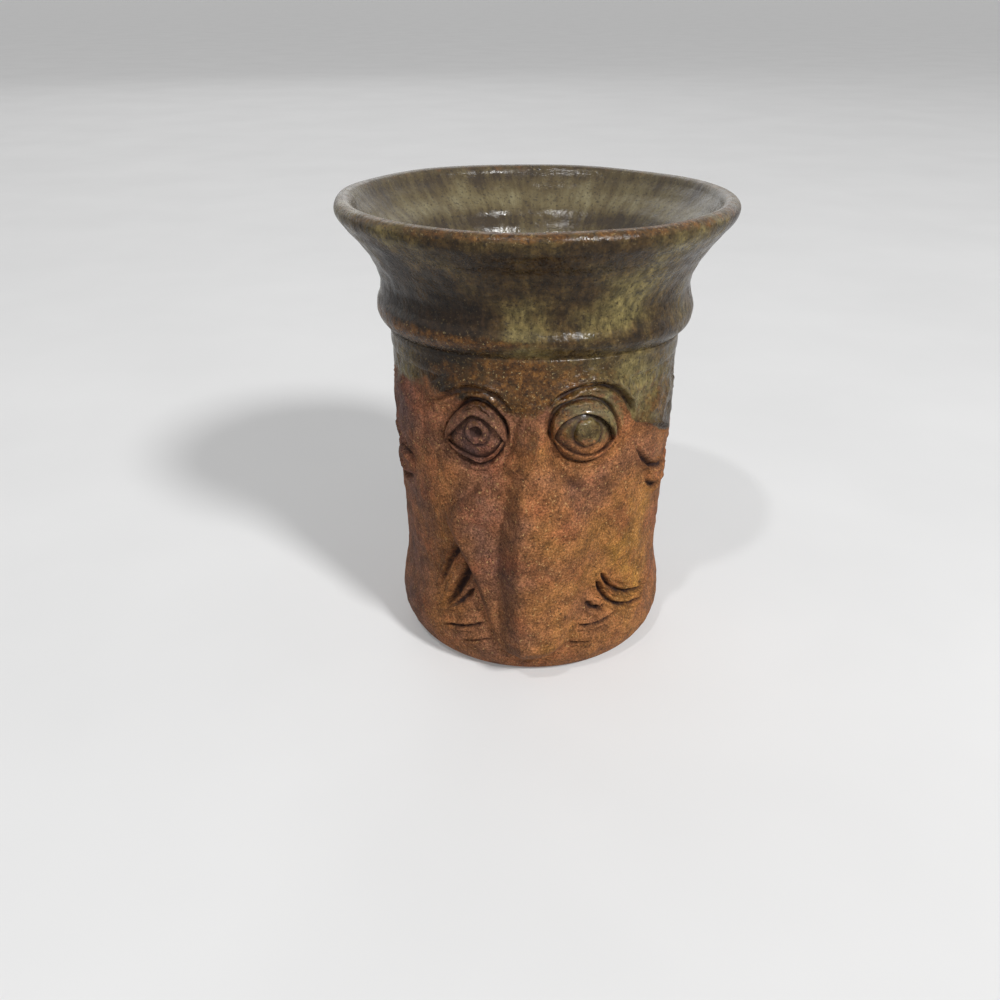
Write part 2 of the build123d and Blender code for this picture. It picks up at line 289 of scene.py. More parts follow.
def cut(phi, z, mark, line):
    """Relief of one tool stroke in mm, and the painted shade in its groove."""
    _, half, depth, run_in, run_out = mark
    d, along = from_line(phi, z, line, 3 * half + 0.5)
    press = ease(along, -0.02, run_in) * (1 - ease(along, 1 - run_out, 1.02))
    chatter = sum(share * np.sin(rate * along + start * depth) for share, rate, start in CHATTER)
    half = half * (0.3 + 0.7 * press) * (1 + chatter)
    f = np.clip(1 - d / half, 0, 1)
    lip = hump(d, 1.35 * half, 0.42 * half) * (d < 3 * half)
    deep = min(depth, BURR_FROM_DEPTH)
    return press * (BURR * deep * lip - depth * f**1.05), press * ease(f, 0.08, 0.75) * deep


print(len(MARKS), "tool strokes")

# %% [markdown]
# ## The eyes, as they sit in the wall
# Each eye is a ball of clay pressed into a thumbed hollow, with a lid rolled over the
# top and a thinner one under it. The lids have to lie on the ball, so the ball's swell
# is written once, as a lift off the wall, and the ball and both lids use it. The wall
# itself also swells a little at the cheeks and between the brows, and painted shade
# darkens it along the foot of the nose's wing.

# %% Balls and hollows
EYES = {
    "left": {"phi": -21.3, "z": 81.0, "wide": 9.6, "tall": 8.6},
    "right": {"phi": 20.6, "z": 81.2, "wide": 9.9, "tall": 8.9},
}
BALL_DEEP = 4.4
BALL_SUNK = 2.6
SOCKET_DEEP, SOCKET_WIDE, SOCKET_TALL = 1.5, 11.0, 8.5
# The last number of each lid is painted shade laid over most of its length, strongest on the left upper
# lid.
LIDS = {
    "left_upper_lid": {
        "edge": [
            (-35.4, 76.6), (-31.5, 79.9), (-27.9, 82.7), (-23.3, 86.4), (-20.4, 87.2), (-15.5, 85.8),
            (-11.9, 83.0), (-9.6, 79.8),
        ],
        "back": [
            (-36.6, 77.2), (-31.2, 85.0), (-25.8, 89.3), (-21.3, 91.3), (-16.7, 90.6), (-12.8, 88.0),
            (-10.0, 84.8), (-8.8, 80.3),
        ],
        "thick": 1.9, "painted_shade": 0.42,
    },
    "left_lower_lid": {
        "edge": [
            (-34.6, 77.4), (-31.0, 76.4), (-26.0, 75.3), (-20.8, 74.4), (-16.8, 74.9), (-13.0, 77.4),
            (-10.4, 80.4),
        ],
        "back": [
            (-35.2, 76.6), (-32.0, 75.4), (-26.2, 73.6), (-20.8, 72.2), (-17.0, 72.7), (-13.0, 75.5),
            (-9.8, 79.6),
        ],
        "thick": 1.2, "painted_shade": 0.1,
    },
    "right_upper_lid": {
        "edge": [
            (8.0, 80.6), (9.8, 84.6), (13.6, 87.0), (19.8, 88.2), (25.4, 86.6), (29.5, 83.4),
            (32.0, 80.0), (34.6, 76.8),
        ],
        "back": [
            (7.6, 80.8), (7.0, 85.5), (9.6, 89.8), (14.6, 91.9), (20.6, 92.2), (26.3, 90.8),
            (31.5, 87.3), (35.6, 77.4),
        ],
        "thick": 2.0, "painted_shade": 0.0,
    },
    "right_lower_lid": {
        "edge": [
            (8.2, 81.4), (12.3, 78.6), (16.9, 76.5), (21.4, 75.4), (27.2, 75.9), (31.6, 77.7),
            (34.4, 78.6),
        ],
        "back": [
            (8.0, 80.6), (12.2, 76.8), (16.9, 74.3), (21.6, 73.1), (27.6, 73.8), (32.2, 76.0),
            (35.0, 77.8),
        ],
        "thick": 1.3, "painted_shade": 0.0,
    },
}


def ball_lift(phi, z, eye):
    """Lift of the eyeball's face off the wall, in mm, or far under it beside the ball."""
    s = np.radians(phi - eye["phi"]) * FACE_RADIUS / eye["wide"]
    h = (z - eye["z"]) / eye["tall"]
    room = 1 - s * s - h * h
    return np.where(room > 0, BALL_DEEP * np.sqrt(np.maximum(room, 0)) - BALL_SUNK, -BALL_SUNK)


WING_FOOT = flow([(-30, 58.4), (-35.5, 54), (-35.6, 49), (-31.5, 42.6), (-26.4, 35)], 30)
SWELLS = [
    # rise, angle, width, height, spread: right cheek, left cheek, between the brows
    (0.9, 40, 14, 52, 12), (0.7, -41, 13, 52, 12), (0.5, 0, 12, 92, 7),
]


def wall_relief(phi, z):
    """All hand work on the bare wall: relief in mm, and painted shade in the marks and along the wing's
    foot.
    """
    lift = np.zeros(phi.shape)
    # painted shade on the wall along the foot of the nose's wing
    beside, along = from_line(phi, z, WING_FOOT, 4)
    shade = 0.36 * (1 - ease(beside, 0.4, 3.4)) * np.sin(np.pi * along) ** 0.7
    for eye in EYES.values():
        s = np.radians(phi - eye["phi"]) * FACE_RADIUS
        hollow = (s / SOCKET_WIDE) ** 4 + ((z - eye["z"]) / SOCKET_TALL) ** 4
        lift -= SOCKET_DEEP * np.exp(-hollow)
    lift += patches(phi, z, SWELLS)
    for mark, line in zip(MARKS, MARK_LINES):
        relief, dark = cut(phi, z, mark, line)
        lift += relief
        shade = np.maximum(shade, dark)
    return lift, shade


print("ball stands", round(BALL_DEEP - BALL_SUNK, 1), "mm proud of the wall")

# %% [markdown]
# ## Where the glaze reaches
# The collar was dipped upside down, and the glaze ran to an uneven line across the
# forehead, pooled over the right eye and stopped in a sharp edge on the right temple.
# The edge could be painted on each piece by hand. Here one function says how much glaze
# a point of the wall carries, and every piece writes it into an attribute, so the colour
# runs on over the joints between pieces.

# %% The glaze line
GLAZE_LINE = flow(
    [
        (-180, 90), (-130, 88), (-95, 88), (-67, 90.5), (-52, 92.2), (-43, 92.4), (-35, 91),
        (-27, 90), (-12, 89.5), (-4, 87), (8, 89), (24, 92), (36, 89), (42, 83), (47, 80.2),
        (58, 77.6), (70, 73.4), (88, 75), (120, 84), (150, 88), (180, 90),
    ],
    180,
)


def glaze_edge(phi):
    return np.interp(phi, GLAZE_LINE[:, 0], GLAZE_LINE[:, 1])


def glaze_at(phi, z):
    """Share of glaze on the wall at a point, from 0 for bare clay to 1 for full cover."""
    turn = np.radians(phi)
    edge = glaze_edge(phi) + 0.7 * np.sin(9 * turn + 1) + 0.5 * np.sin(23 * turn)
    edge = edge + 1.3 * np.sin(13 * turn + 2) * ease(np.abs(phi), 78, 110)
    soft = 4.5 - 3.6 * ease(phi, 36, 46) * (1 - ease(phi, 74, 100))
    cover = ease(z, edge - soft, edge + soft)
    right_eye = 0.85 * np.exp(-(((phi - 21) / 16.5) ** 4 + ((z - 86.5) / 8.5) ** 4))
    left_eye = 0.4 * np.exp(-(((phi + 21) / 14) ** 4 + ((z - 88) / 5.5) ** 4))
    bridge = 0.55 * patch(phi, z, -0.5, 6, 81, 8)
    return np.maximum.reduce([cover, right_eye, left_eye, bridge])


print("glaze line at the nose", round(float(glaze_edge(0)), 1), "mm up")

# %% [markdown]
# ## How the fire left it
# Glaze and clay change over the pot: the coat is thin on the forehead, darkened by painted
# shade in the hollow over the left eye, gold on the right temple and milky on the right lid,
# and the flame left the clay golden on one cheek and smoky on the other. Each of these is a
# short table of soft patches that becomes an attribute of the mesh, because an attribute
# stays on the surface.

# %% Patches of colour
# The brow patch below is painted shade in the hollow over the left eye, laid on as a dark pool of
# glaze.
SHADED_BROW = (-31, 11, 93, 4.5)
IRON_POOLS_AND_BROW_SHADE = [
    (0.03, -8, 30, 127, 9), (0.14, -54, 26, 107, 15), (0.07, 20, 40, 107.5, 2.6),
    (0.16, *SHADED_BROW),
]
GOLD_POOLS = [
    (0.07, 30, 24, 115, 6), (0.18, 54, 20, 90, 12), (0.12, 21, 13, 84, 9), (0.26, 21, 13, 90, 4),
]
GOLDEN_CLAY = [(0.34, 46, 20, 38, 26), (0.05, -48, 14, 60, 22), (0.08, 8, 14, 40, 24)]
SMOKY_CLAY = [(0.44, -18, 13, 79, 13), (0.1, -16, 12, 44, 22)]
WET_PATCHES = [(1.0, 20, 14, 90, 5.5), (0.6, -1, 6, 80, 8), (0.4, 4, 24, 96, 5)]
WASH_MILK = 0.07
MILKY_LID = [(0.45, 21, 13, 90, 4.5)]


def thin_at(phi, z):
    """How thin the glaze is: rust over the forehead, broken on the temple, thick on the eye."""
    brow = np.exp(-(((phi + 6) / 42) ** 4)) * (1 - ease(z, 95, 103) * (1 - hump(phi, -3, 20)))
    # less rust where the painted shade over the left eye lies
    brow = brow * (1 - 0.6 * patch(phi, z, *SHADED_BROW))
    back = 0.5 * ease(np.abs(phi), 80, 120) * (1 - ease(z, 92, 98))
    eye, temple = patch(phi, z, 21, 13, 83, 9), patch(phi, z, 56, 16, 86, 9)
    return np.clip(0.12 + np.maximum(0.62 * brow, back) - 0.32 * eye + 0.42 * temple, 0, 1)


def pool_at(phi, z):
    """Where the glaze pooled: below 0 it is dark with iron, and over the left eye with painted shade;
    above 0 olive and gold.
    """
    rim = 0.05 * hump(z, glaze_edge(phi) + 1.4, 1.7) * ease(phi, 38, 48)
    return patches(phi, z, GOLD_POOLS) - patches(phi, z, IRON_POOLS_AND_BROW_SHADE) - rim


def flash_at(phi, z):
    """How the flame coloured the clay: 0 smoky, 0.5 brown, 1 golden."""
    golden = patches(phi, z, GOLDEN_CLAY) + 0.04 * hump(z, 5, 6)
    smoky = patches(phi, z, SMOKY_CLAY) + 0.3 * hump(phi, -66, 20)
    return np.clip(0.5 + golden - smoky, 0, 1)


def wet_at(phi, z):
    """Where the wash lies thick enough to shine: the right eye, the bridge and the forehead."""
    return np.maximum.reduce([share * patch(phi, z, *place) for share, *place in WET_PATCHES])


def finish_at(phi, z, shade):
    """The attributes that every clay piece carries for its finish."""
    return {
        "glaze": glaze_at(phi, z),
        "thin": thin_at(phi, z),
        "flash": flash_at(phi, z),
        "milk": WASH_MILK + patches(phi, z, MILKY_LID),
        "pool": pool_at(phi, z),
        "wet": wet_at(phi, z),
        "shade": shade,
    }


print("clay pieces carry", list(finish_at(np.zeros(1), np.zeros(1), np.zeros(1))))

# %% [markdown]
# ## From bmesh to a finished piece
# Each piece is shaped in a bmesh, its vertices are pushed about as clay is, and then it
# becomes an object that rides on the pot's one body and stands for its CAD solid. That
# last part could be done piece by piece; `keep_piece` does it the same way for all of
# them, so that nothing is forgotten: normals outward, smooth shading, the attributes
# written. `run_of` gives the glaze its way down the pot, whatever the radius.

# %% Keep a piece
pieces_made = {}


def run_of(places):
    """Where a point is on the way down the pot, the same at every radius, in metres."""
    turn = np.arctan2(places[:, 0], -places[:, 1])
    near = FACE_RADIUS * MM
    return np.stack([near * np.sin(turn), near * np.cos(turn), places[:, 2]], 1)


def keep_piece(bm, name, attributes):
    """Makes the bmesh an object that stands for its CAD node."""
    bmesh.ops.recalc_face_normals(bm, faces=bm.faces[:])
    places = spots(bm)
    mesh = bpy.data.meshes.new("fired_" + name)
    bm.to_mesh(mesh)
    bm.free()
    mesh.shade_smooth()
    for attribute, values in attributes.items():
        layer = mesh.attributes.new(attribute, "FLOAT", "POINT")
        layer.data.foreach_set("value", np.asarray(values, np.float32))
    layer = mesh.attributes.new("run", "FLOAT_VECTOR", "POINT")
    layer.data.foreach_set("vector", run_of(places).astype(np.float32).ravel())
    piece = bpy.data.objects.new("fired_" + name, mesh)
    bpy.context.scene.collection.objects.link(piece)
    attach(piece, "root")
    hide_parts(name)
    pieces_made[name] = piece
    triangles = sum(len(face.vertices) - 2 for face in mesh.polygons)
    print(name, len(mesh.vertices), "vertices", triangles, "triangles")


def spots(bm):
    """The bmesh's vertices as rows of x, y, z."""
    return np.array([v.co for v in bm.verts])


def move_to(bm, places):
    for vertex, place in zip(bm.verts, places):
        vertex.co = place


# %% [markdown]
# ## Throwing
# A thrown form is a section turned about the wheel's axis. A Screw modifier would do it,
# but the face needs many more columns of vertices than the back. So `throw` draws the
# section as a chain of edges and spins it in arcs, each with its own number of steps,
# and merges the seam and the poles when the turn is complete.

# %% The wheel
AXIS = (0, 0, 1)
SEAM = 1e-6


def throw(section, arcs):
    """Spins a closed section of (radius, height) in mm. arcs lists (degrees, steps)."""
    bm = bmesh.new()
    start = math.radians(-arcs[0][0] / 2)
    ring = [
        bm.verts.new((r * MM * math.sin(start), -r * MM * math.cos(start), z * MM))
        for r, z in section
    ]
    ends = list(zip(ring, ring[1:]))
    if section[0][0] > 0:
        ends.append((ring[-1], ring[0]))
    turning = ring + [bm.edges.new(pair) for pair in ends]
    for degrees, steps in arcs:
        done = bmesh.ops.spin(
            bm, geom=turning, cent=(0, 0, 0), axis=AXIS,
            angle=math.radians(degrees), steps=steps, use_merge=False,
        )
        turning = done["geom_last"]
    bmesh.ops.remove_doubles(bm, verts=bm.verts[:], dist=SEAM)
    return bm


def round_pot(places):
    """Angle from the middle of the face, radius and height of each point, in mm."""
    phi = np.degrees(np.arctan2(places[:, 0], -places[:, 1]))
    return phi, np.hypot(places[:, 0], places[:, 1]) / MM, places[:, 2] / MM


trial = throw([(1, 0), (2, 0), (2, 1)], [(360, 8)])
print("a trial ring of 8 steps has", len(trial.verts), "vertices, so its seam is closed")
trial.free()

# %% [markdown]
# ## The thrown body
# The body is the pot's main form. A coarse turned form with a bump map would look right
# from afar, but here the outside gets a row of vertices about every half millimetre, so
# that the tool strokes can be real relief rather than a painted line, while the back and
# the well inside need only a few rows.

# %% Throw the body
WELL_RADIUS, FLOOR_HEIGHT = 35.85, 6.5
FACE_ARC, BACK_ARC = (156, 340), (204, 56)
foot_rows, wall_rows = [0, 0.25, 0.7, 1.4], np.linspace(2.2, 101.6, 212)
outside_z = np.concatenate([foot_rows, wall_rows, [WALL_TOP]])
outside = [(float(wall_radius(z)), float(z)) for z in outside_z]
inside = [(WELL_RADIUS, z) for z in (WALL_TOP, 70, 40, 13)] + [(34, 8.6), (30, FLOOR_HEIGHT)]
section = [(0, 0), (20, 0), (34, 0)] + outside + inside + [(0, FLOOR_HEIGHT)]
body = throw(section, [FACE_ARC, BACK_ARC])
places = spots(body)
phi, r, z = round_pot(places)
lift, shade = wall_relief(phi, z)
outer = (r > wall_radius(z) - 0.5) & (r > WELL_RADIUS + 0.65)
fade = np.where(outer, 1 - ease(z, 97, 101), 0.0) * ease(z, 0.0, 4.0)
worked = on_wall(phi, z, lift * fade)
move_to(body, np.where((outer & (z > 0.1))[:, None], worked, places))
keep_piece(body, "thrown_body", finish_at(phi, z, shade * fade))

# %% [markdown]
# ## Laying clay on the wall
# Nose, lids, brows and ears are soft clay pressed on and smoothed at the edges. Each one
# starts as a flat grid, extruded once so that it has a front and a back, and is then
# laid on the wall: `lay_on` asks for the angle, the height and the lift of each point.
# The back goes a little under the wall's face, so nothing floats and no gap shows.

# %% A pad of clay
PAD_UNDER = 1.2


def lay_on(name, across, along, shape, under=PAD_UNDER):
    """shape(u, v) takes 0..1 across and along, and gives angle, height, lift, shade."""
    bm = bmesh.new()
    bmesh.ops.create_grid(bm, x_segments=across, y_segments=along, size=1)
    made = bmesh.ops.extrude_face_region(bm, geom=bm.faces[:], use_keep_orig=True)
    front = [g for g in made["geom"] if isinstance(g, bmesh.types.BMVert)]
    bmesh.ops.translate(bm, verts=front, vec=(0, 0, 1))
    flat = spots(bm)
    phi, z, lift, shade = shape((flat[:, 0] + 1) / 2, (flat[:, 1] + 1) / 2)
    relief, _ = wall_relief(phi, z)
    lift = np.where(flat[:, 2] > 0.5, lift, np.minimum(lift, relief) - under)
    move_to(bm, on_wall(phi, z, lift))
    keep_piece(bm, name, finish_at(phi, z, shade))


print("a pad goes", PAD_UNDER, "mm under the wall's face")

# %% [markdown]
# ## The nose
# The nose is the face's one big form: it starts between the brows, widens to a diamond
# at the nostrils and runs on down almost to the foot, so that it is nose, lip and chin
# in one wedge. Its left side is cut: a flat wing, then a steep bank up to the ridge. The
# right side is rounded and runs out softly into the cheek. It could be carved from a
# block with cutting planes; as a pad whose lift is the lowest of a few sloping planes it
# keeps those facets and still runs out into the wall. The lines give, by height, the
# angle of its sides and ridge, how far it stands out, and how deep the bank drops.

# %% Model the nose
NOSE_LEFT = flow([
    (-2.5, 92), (-5.5, 85), (-8.5, 76), (-15.5, 69), (-22.5, 64), (-29.5, 59), (-36.0, 53.4),
    (-34.6, 48.2), (-30.2, 41.6), (-25.4, 34.9), (-21.4, 27.5), (-17.4, 20.2), (-13.0, 12.4), (-7, 8.8),
    (-2.5, 7.6),
], 90)
NOSE_RIGHT = flow([
    (3.5, 92), (6, 84), (8.5, 75), (17, 66), (27.5, 57), (30.5, 48), (29, 40), (27.3, 34), (25, 26),
    (21, 19), (17, 13.4), (8.9, 8.7), (1, 7.6),
], 90)
NOSE_RIDGE = flow([
    (0.3, 92), (0.6, 85), (1.0, 80), (-2.2, 69.7), (-2.7, 60.4), (-3.7, 51.5), (-3.6, 40.3),
    (-3.2, 28.4), (-2.4, 18.7), (-2.2, 13), (-1.5, 7.6),
], 90)
NOSE_RISE = flow([
    (0.3, 92), (1.6, 86), (3.0, 79), (5.0, 70), (6.8, 60), (8.0, 50), (8.4, 40), (8.3, 30), (8.2, 20),
    (7.6, 14.5), (5.0, 10.8), (1.6, 8.6), (0.2, 7.6),
], 90)
NOSE_DROP = flow([
    (0.2, 92), (0.5, 84), (1.6, 76), (3.2, 69), (4.5, 60), (5.2, 50), (5.4, 40), (5.7, 30), (5.7, 20),
    (5.3, 14.5), (3.2, 10.8), (0.9, 8.6), (0.1, 7.6),
], 90)
NOSE_EDGE = flow([
    (0.0, 92), (0.1, 76), (0.6, 67), (2.5, 60), (4.1, 54), (3.9, 46), (3.2, 38), (2.5, 30), (1.8, 20),
    (1.0, 12), (0.2, 7.6),
], 90)
BANK_WIDE = flow([(4.2, 92), (4.4, 70), (4.8, 60), (5.6, 48), (6.2, 34), (6.6, 20), (6.4, 7.6)], 60)
SIDE_SLOPE = 0.85
NOSE_TOP, NOSE_FOOT = 92, 7.6


def by_height(line, z):
    return np.interp(z, line[::-1, 1], line[::-1, 0])


def lower_of(a, b, soft):
    """The lower of two planes of clay, with the corner between them rounded over."""
    h = np.clip(0.5 + 0.5 * (b - a) / soft, 0, 1)
    return b * (1 - h) + a * h - soft * h * (1 - h)


def nose_shape(u, v):
    """A wing, a bank and a rounded flank, with the side's slope as the lowest of them."""
    z = NOSE_TOP - v * (NOSE_TOP - NOSE_FOOT)
    left, right, ridge = (by_height(line, z) for line in (NOSE_LEFT, NOSE_RIGHT, NOSE_RIDGE))
    rise, drop, edge = (by_height(line, z) for line in (NOSE_RISE, NOSE_DROP, NOSE_EDGE))
    t = 2 * u - 1
    phi = np.where(t < 0, ridge + t * (ridge - left), ridge + t * (right - ridge))
    s = np.radians(phi - ridge) * FACE_RADIUS
    wide_left = np.radians(ridge - left) * FACE_RADIUS
    bank_wide = np.minimum(by_height(BANK_WIDE, z), 0.6 * wide_left)
    bank = rise + s * drop / bank_wide
    wing_wide = np.maximum(wide_left - bank_wide, 1)
    wing = rise - drop + (rise - drop - edge) * (s + bank_wide) / wing_wide
    side = (s + wide_left) * SIDE_SLOPE
    fall = np.clip(t, 0, 1)
    flank = rise * (1 - 0.4 * fall - 0.6 * fall**2.4)
    flank = flank * (1 - 0.5 * ease(t, 0.6, 1)) + 0.25 * hump(t, 0.5, 0.2) * ease(rise, 4, 7)
    crest = lower_of(bank, flank, 0.4)
    faceted = -lower_of(-np.where(s < 0.8, wing, -9), -crest, 0.5)
    brink = edge / SIDE_SLOPE
    burr = 0.45 * hump(s + wide_left, brink + 0.6, 1.0) * ease(z, 50, 56) * ease(edge, 0.4, 1.6)
    height = np.maximum(lower_of(faceted + burr, side, 0.6), 0)
    relief, shade = wall_relief(phi, z)
    border = np.minimum(1 - np.abs(t), 2 * np.minimum(v, 1 - v))
    keep = 1 - ease(height, 0.2, 1.6)
    lift = height + relief * keep - 0.3 * (1 - ease(border, 0, 0.05))
    uneven = 0.1 * np.sin(z * 0.9 + phi * 0.25) + 0.12 * np.sin(0.31 * z - 0.4 * phi)
    lift += uneven * ease(height, 0.5, 3)
    # on_bank is painted shade down the steep bank, under_wing painted shade on the wing's steep left
    # side
    down = -s / bank_wide
    on_bank = ease(down, -0.04, 0.3) * (1 - ease(down, 0.55, 1.3))
    on_bank = 0.42 * on_bank * (1 - ease(z, 60, 88)) * ease(drop, 0.2, 2.0)
    under_wing = 0.5 * hump(s + wide_left, 0.4 * brink, 0.55 * brink + 0.2) * ease(edge, 1.2, 2.6)
    return phi, z, lift, np.maximum.reduce([shade * keep, on_bank, under_wing])


lay_on("nose_wedge", 130, 180, nose_shape)

# %% [markdown]
# ## The eyeballs
# A ball of clay, pressed until it is wider than tall. A sphere primitive is a fair start,
# because that is what the potter rolled; its vertices are then pressed into the
# hollow and bent round the wall with everything else. A thumbed bed takes the iris, and
# the shade attribute is painted shade along the lids' edges, round the ball's rim and in
# the groove round the iris.

# %% Press in the eyeballs
IRISES = {
    "left": {
        "phi": -19.8, "z": 82.4,
        "section": [
            (0, -0.9), (1.05, -0.85), (1.5, -0.3), (1.8, 0.5), (2.1, 0.8), (2.55, 0.78),
            (2.95, 0.62), (3.25, 0.25), (3.45, -0.15), (3.65, -0.5),
        ],
    },
    "right": {
        "phi": 20.7, "z": 82.8,
        "section": [
            (0, 0.6), (1.2, 0.6), (2.1, 0.65), (2.8, 0.9), (3.3, 0.9), (3.7, 0.45),
            (3.95, -0.15), (4.2, -0.6),
        ],
    },
}
UPRIGHT = Matrix.Rotation(math.radians(90), 3, "X")
BALL_BACK = 1.2
IRIS_BED = 1.5
LID_SHADOW = {
    # reach, more of it, and the angle and width of that: under the upper lid, over the lower
    "left": [(1, 1.6, -31, 5), (1, 1.5, -22, 9)],
    "right": [(2.5, 0, 0, 1), (1, 1.6, 12, 6)],
}


def lid_gap(phi, z, name):
    """How far a point of the ball is from a lid's free edge, in mm."""
    return from_line(phi, z, flow(LIDS[name]["edge"]), 3)[0]


for side, eye in EYES.items():
    ball = bmesh.new()
    bmesh.ops.create_uvsphere(ball, u_segments=84, v_segments=56, radius=1)
    bmesh.ops.rotate(ball, verts=ball.verts[:], cent=(0, 0, 0), matrix=UPRIGHT)
    x, y, h = spots(ball).T
    phi = eye["phi"] + np.degrees(x * eye["wide"] / FACE_RADIUS)
    z = eye["z"] + h * eye["tall"]
    dent = 0.15 * np.sin(3 * x + 2 * h) * np.cos(2.5 * h)
    lift = np.where(y < 0, -y * BALL_DEEP, -y * BALL_BACK) - BALL_SUNK + dent
    iris = IRISES[side]
    from_iris = np.hypot(np.radians(phi - iris["phi"]) * FACE_RADIUS, z - iris["z"])
    lift -= np.where(y < 0, IRIS_BED * (1 - ease(from_iris, 1.4, 2.8)), 0)
    move_to(ball, on_wall(phi, z, lift))
    under, over = (reach + more * hump(phi, *place) for reach, more, *place in LID_SHADOW[side])
    upper, lower = (lid_gap(phi, z, f"{side}_{lid}_lid") for lid in ("upper", "lower"))
    # painted shade along the lids' edges, in the groove round the iris and round the ball's rim
    corner = 0.9 * (1 - ease(np.minimum(upper / under, lower / over), 0.2, 0.9))
    ring = 0.95 * hump(from_iris, iris["section"][-1][0], 0.55)
    shade = np.maximum.reduce([corner, ring, ease(np.hypot(x, h), 0.8, 0.9)])
    keep_piece(ball, f"{side}_eyeball", finish_at(phi, z, shade))

# %% [markdown]
# ## The irises
# The irises are little discs of clay. The left has a raised edge and a pricked pupil that
# goes dark with painted shade and sits a little off the middle; the right is a dished disc
# with a raised rim. Painted shade also darkens the low outer edge of each disc. They could
# be stamped as flat cylinders, but each is a section spun about its own axis and then laid
# on the swell of the ball, so the rims stay round and soft.

# %% Turn the irises
IRIS_STEPS = 56
IRIS_ROOT = -1.6
IRIS_SEAM = 1e-4
PUPIL_SLIP = {"left": 0.35, "right": 0.0}
for side, iris in IRISES.items():
    disc = bmesh.new()
    line = flow(iris["section"], 34)
    chain = [disc.verts.new((rho, lift, 0)) for rho, lift in line]
    chain.append(disc.verts.new((0, IRIS_ROOT, 0)))
    rim_edges = [disc.edges.new(pair) for pair in zip(chain, chain[1:])]
    bmesh.ops.spin(
        disc, geom=chain + rim_edges, cent=(0, 0, 0), axis=(0, 1, 0),
        angle=math.tau, steps=IRIS_STEPS, use_merge=True,
    )
    bmesh.ops.remove_doubles(disc, verts=disc.verts[:], dist=IRIS_SEAM)
    x, y, h = spots(disc).T
    rho = np.hypot(x, h)
    slip = PUPIL_SLIP[side] * (1 - ease(rho, 0.8, 2.6))
    phi = iris["phi"] + np.degrees((x * (1 + 0.5 * slip) - slip) / FACE_RADIUS)
    z = iris["z"] + h + slip + 0.08 * np.sin(2.1 * x) * rho
    move_to(disc, on_wall(phi, z, ball_lift(phi, z, EYES[side]) + y))
    # painted shade where the disc lies low: the left pupil and the outer edge of each disc
    low = 0.85 * (1 - ease(np.interp(rho, line[:, 0], line[:, 1]), -0.5, 0.5))
    keep_piece(disc, f"{side}_iris", finish_at(phi, z, low))

# %% [markdown]
# ## The lids
# A lid is a flattened roll laid from corner to corner of the eye, with a full edge that
# overhangs the ball and a back that is smoothed into the brow. Each lid is a pad between
# two lines: its free edge and the tool line behind it. A swept curve would give an even
# roll; the pad may be broad in the middle and narrow in the corners, and it carries the
# fine grain that a finger drags in wet clay.

# %% Roll the lids
ROLL = flow([
    (0, 0.1), (0.04, 0.62), (0.12, 0.92), (0.3, 1.04), (0.55, 0.95), (0.8, 0.62), (0.94, 0.2),
    (1, -0.25),
], 60)
LID_GRAIN, LID_SPREAD = 0.05, 1.16
LINE_POINTS = 80


def lid_shape(lid, eye):
    edge, back = flow(lid["edge"], LINE_POINTS), flow(lid["back"], LINE_POINTS)

    def shape(u, v):
        w = v**1.25
        place = np.linspace(0, 1, LINE_POINTS)
        on_edge = [np.interp(u, place, edge[:, k]) for k in (0, 1)]
        on_back = [np.interp(u, place, back[:, k]) for k in (0, 1)]
        phi = on_edge[0] * (1 - w) + on_back[0] * w
        z = on_edge[1] * (1 - w) + on_back[1] * w
        relief, _ = wall_relief(phi, z)
        bed = np.maximum(relief, ball_lift(phi, z, {**eye, "wide": LID_SPREAD * eye["wide"]}))
        taper = ease(u, 0, 0.16) * (1 - ease(u, 0.84, 1))
        full = np.interp(w, ROLL[:, 0], ROLL[:, 1]) * lid["thick"] * (0.35 + 0.65 * taper)
        s = np.radians(phi) * FACE_RADIUS
        grain = LID_GRAIN * np.sin(7.1 * s + 3.3 * z) * np.sin(6.3 * z - 2.2 * s + 1.0)
        lift = bed + full + grain - 0.4 * (1 - ease(np.minimum(u, 1 - u), 0, 0.04))
        # painted shade under the lid's free edge, in the fold at its back, and laid over the lid
        rim, fold = 0.85 * (1 - ease(w, 0.0, 0.1)), 0.9 * ease(w, 0.84, 0.98)
        return phi, z, lift, np.maximum.reduce([rim, fold, lid["painted_shade"] * hump(u, 0.35, 0.4)])

    return shape


for name, lid in LIDS.items():
    side = name.split("_")[0]
    lay_on(name, 84, 22, lid_shape(lid, EYES[side]), under=0.8)

# %% [markdown]
# ## The brows
# Each brow is a coil laid in an arc over the eye and smoothed upward, so its lower side
# is a clear fold and its upper side runs out into the forehead under the glaze. A curve
# with a round bevel would be a plain sausage; a pad along the arc takes the uneven section
# of the smoothed coil and thins towards both ends.

# %% Lay the brows
BROWS = {
    "left_brow": [
        (-47, 86.0), (-42.5, 89.8), (-36.5, 92.6), (-29.5, 95.3), (-22.5, 96.7), (-15, 96.4),
        (-9, 93.6), (-5.5, 89.5),
    ],
    "right_brow": [
        (5.5, 91), (9, 94.9), (15.5, 97.6), (21.8, 98.7), (29, 97.9), (36.6, 94.4), (42.2, 89.2),
        (45.6, 83.2),
    ],
}
BROW_HALF, BROW_RISE = 3.3, 1.0
COIL = flow([
    (-1, -0.15), (-0.85, 0.2), (-0.62, 0.72), (-0.3, 0.98), (0, 1), (0.4, 0.72), (0.75, 0.25),
    (1, -0.15),
], 60)


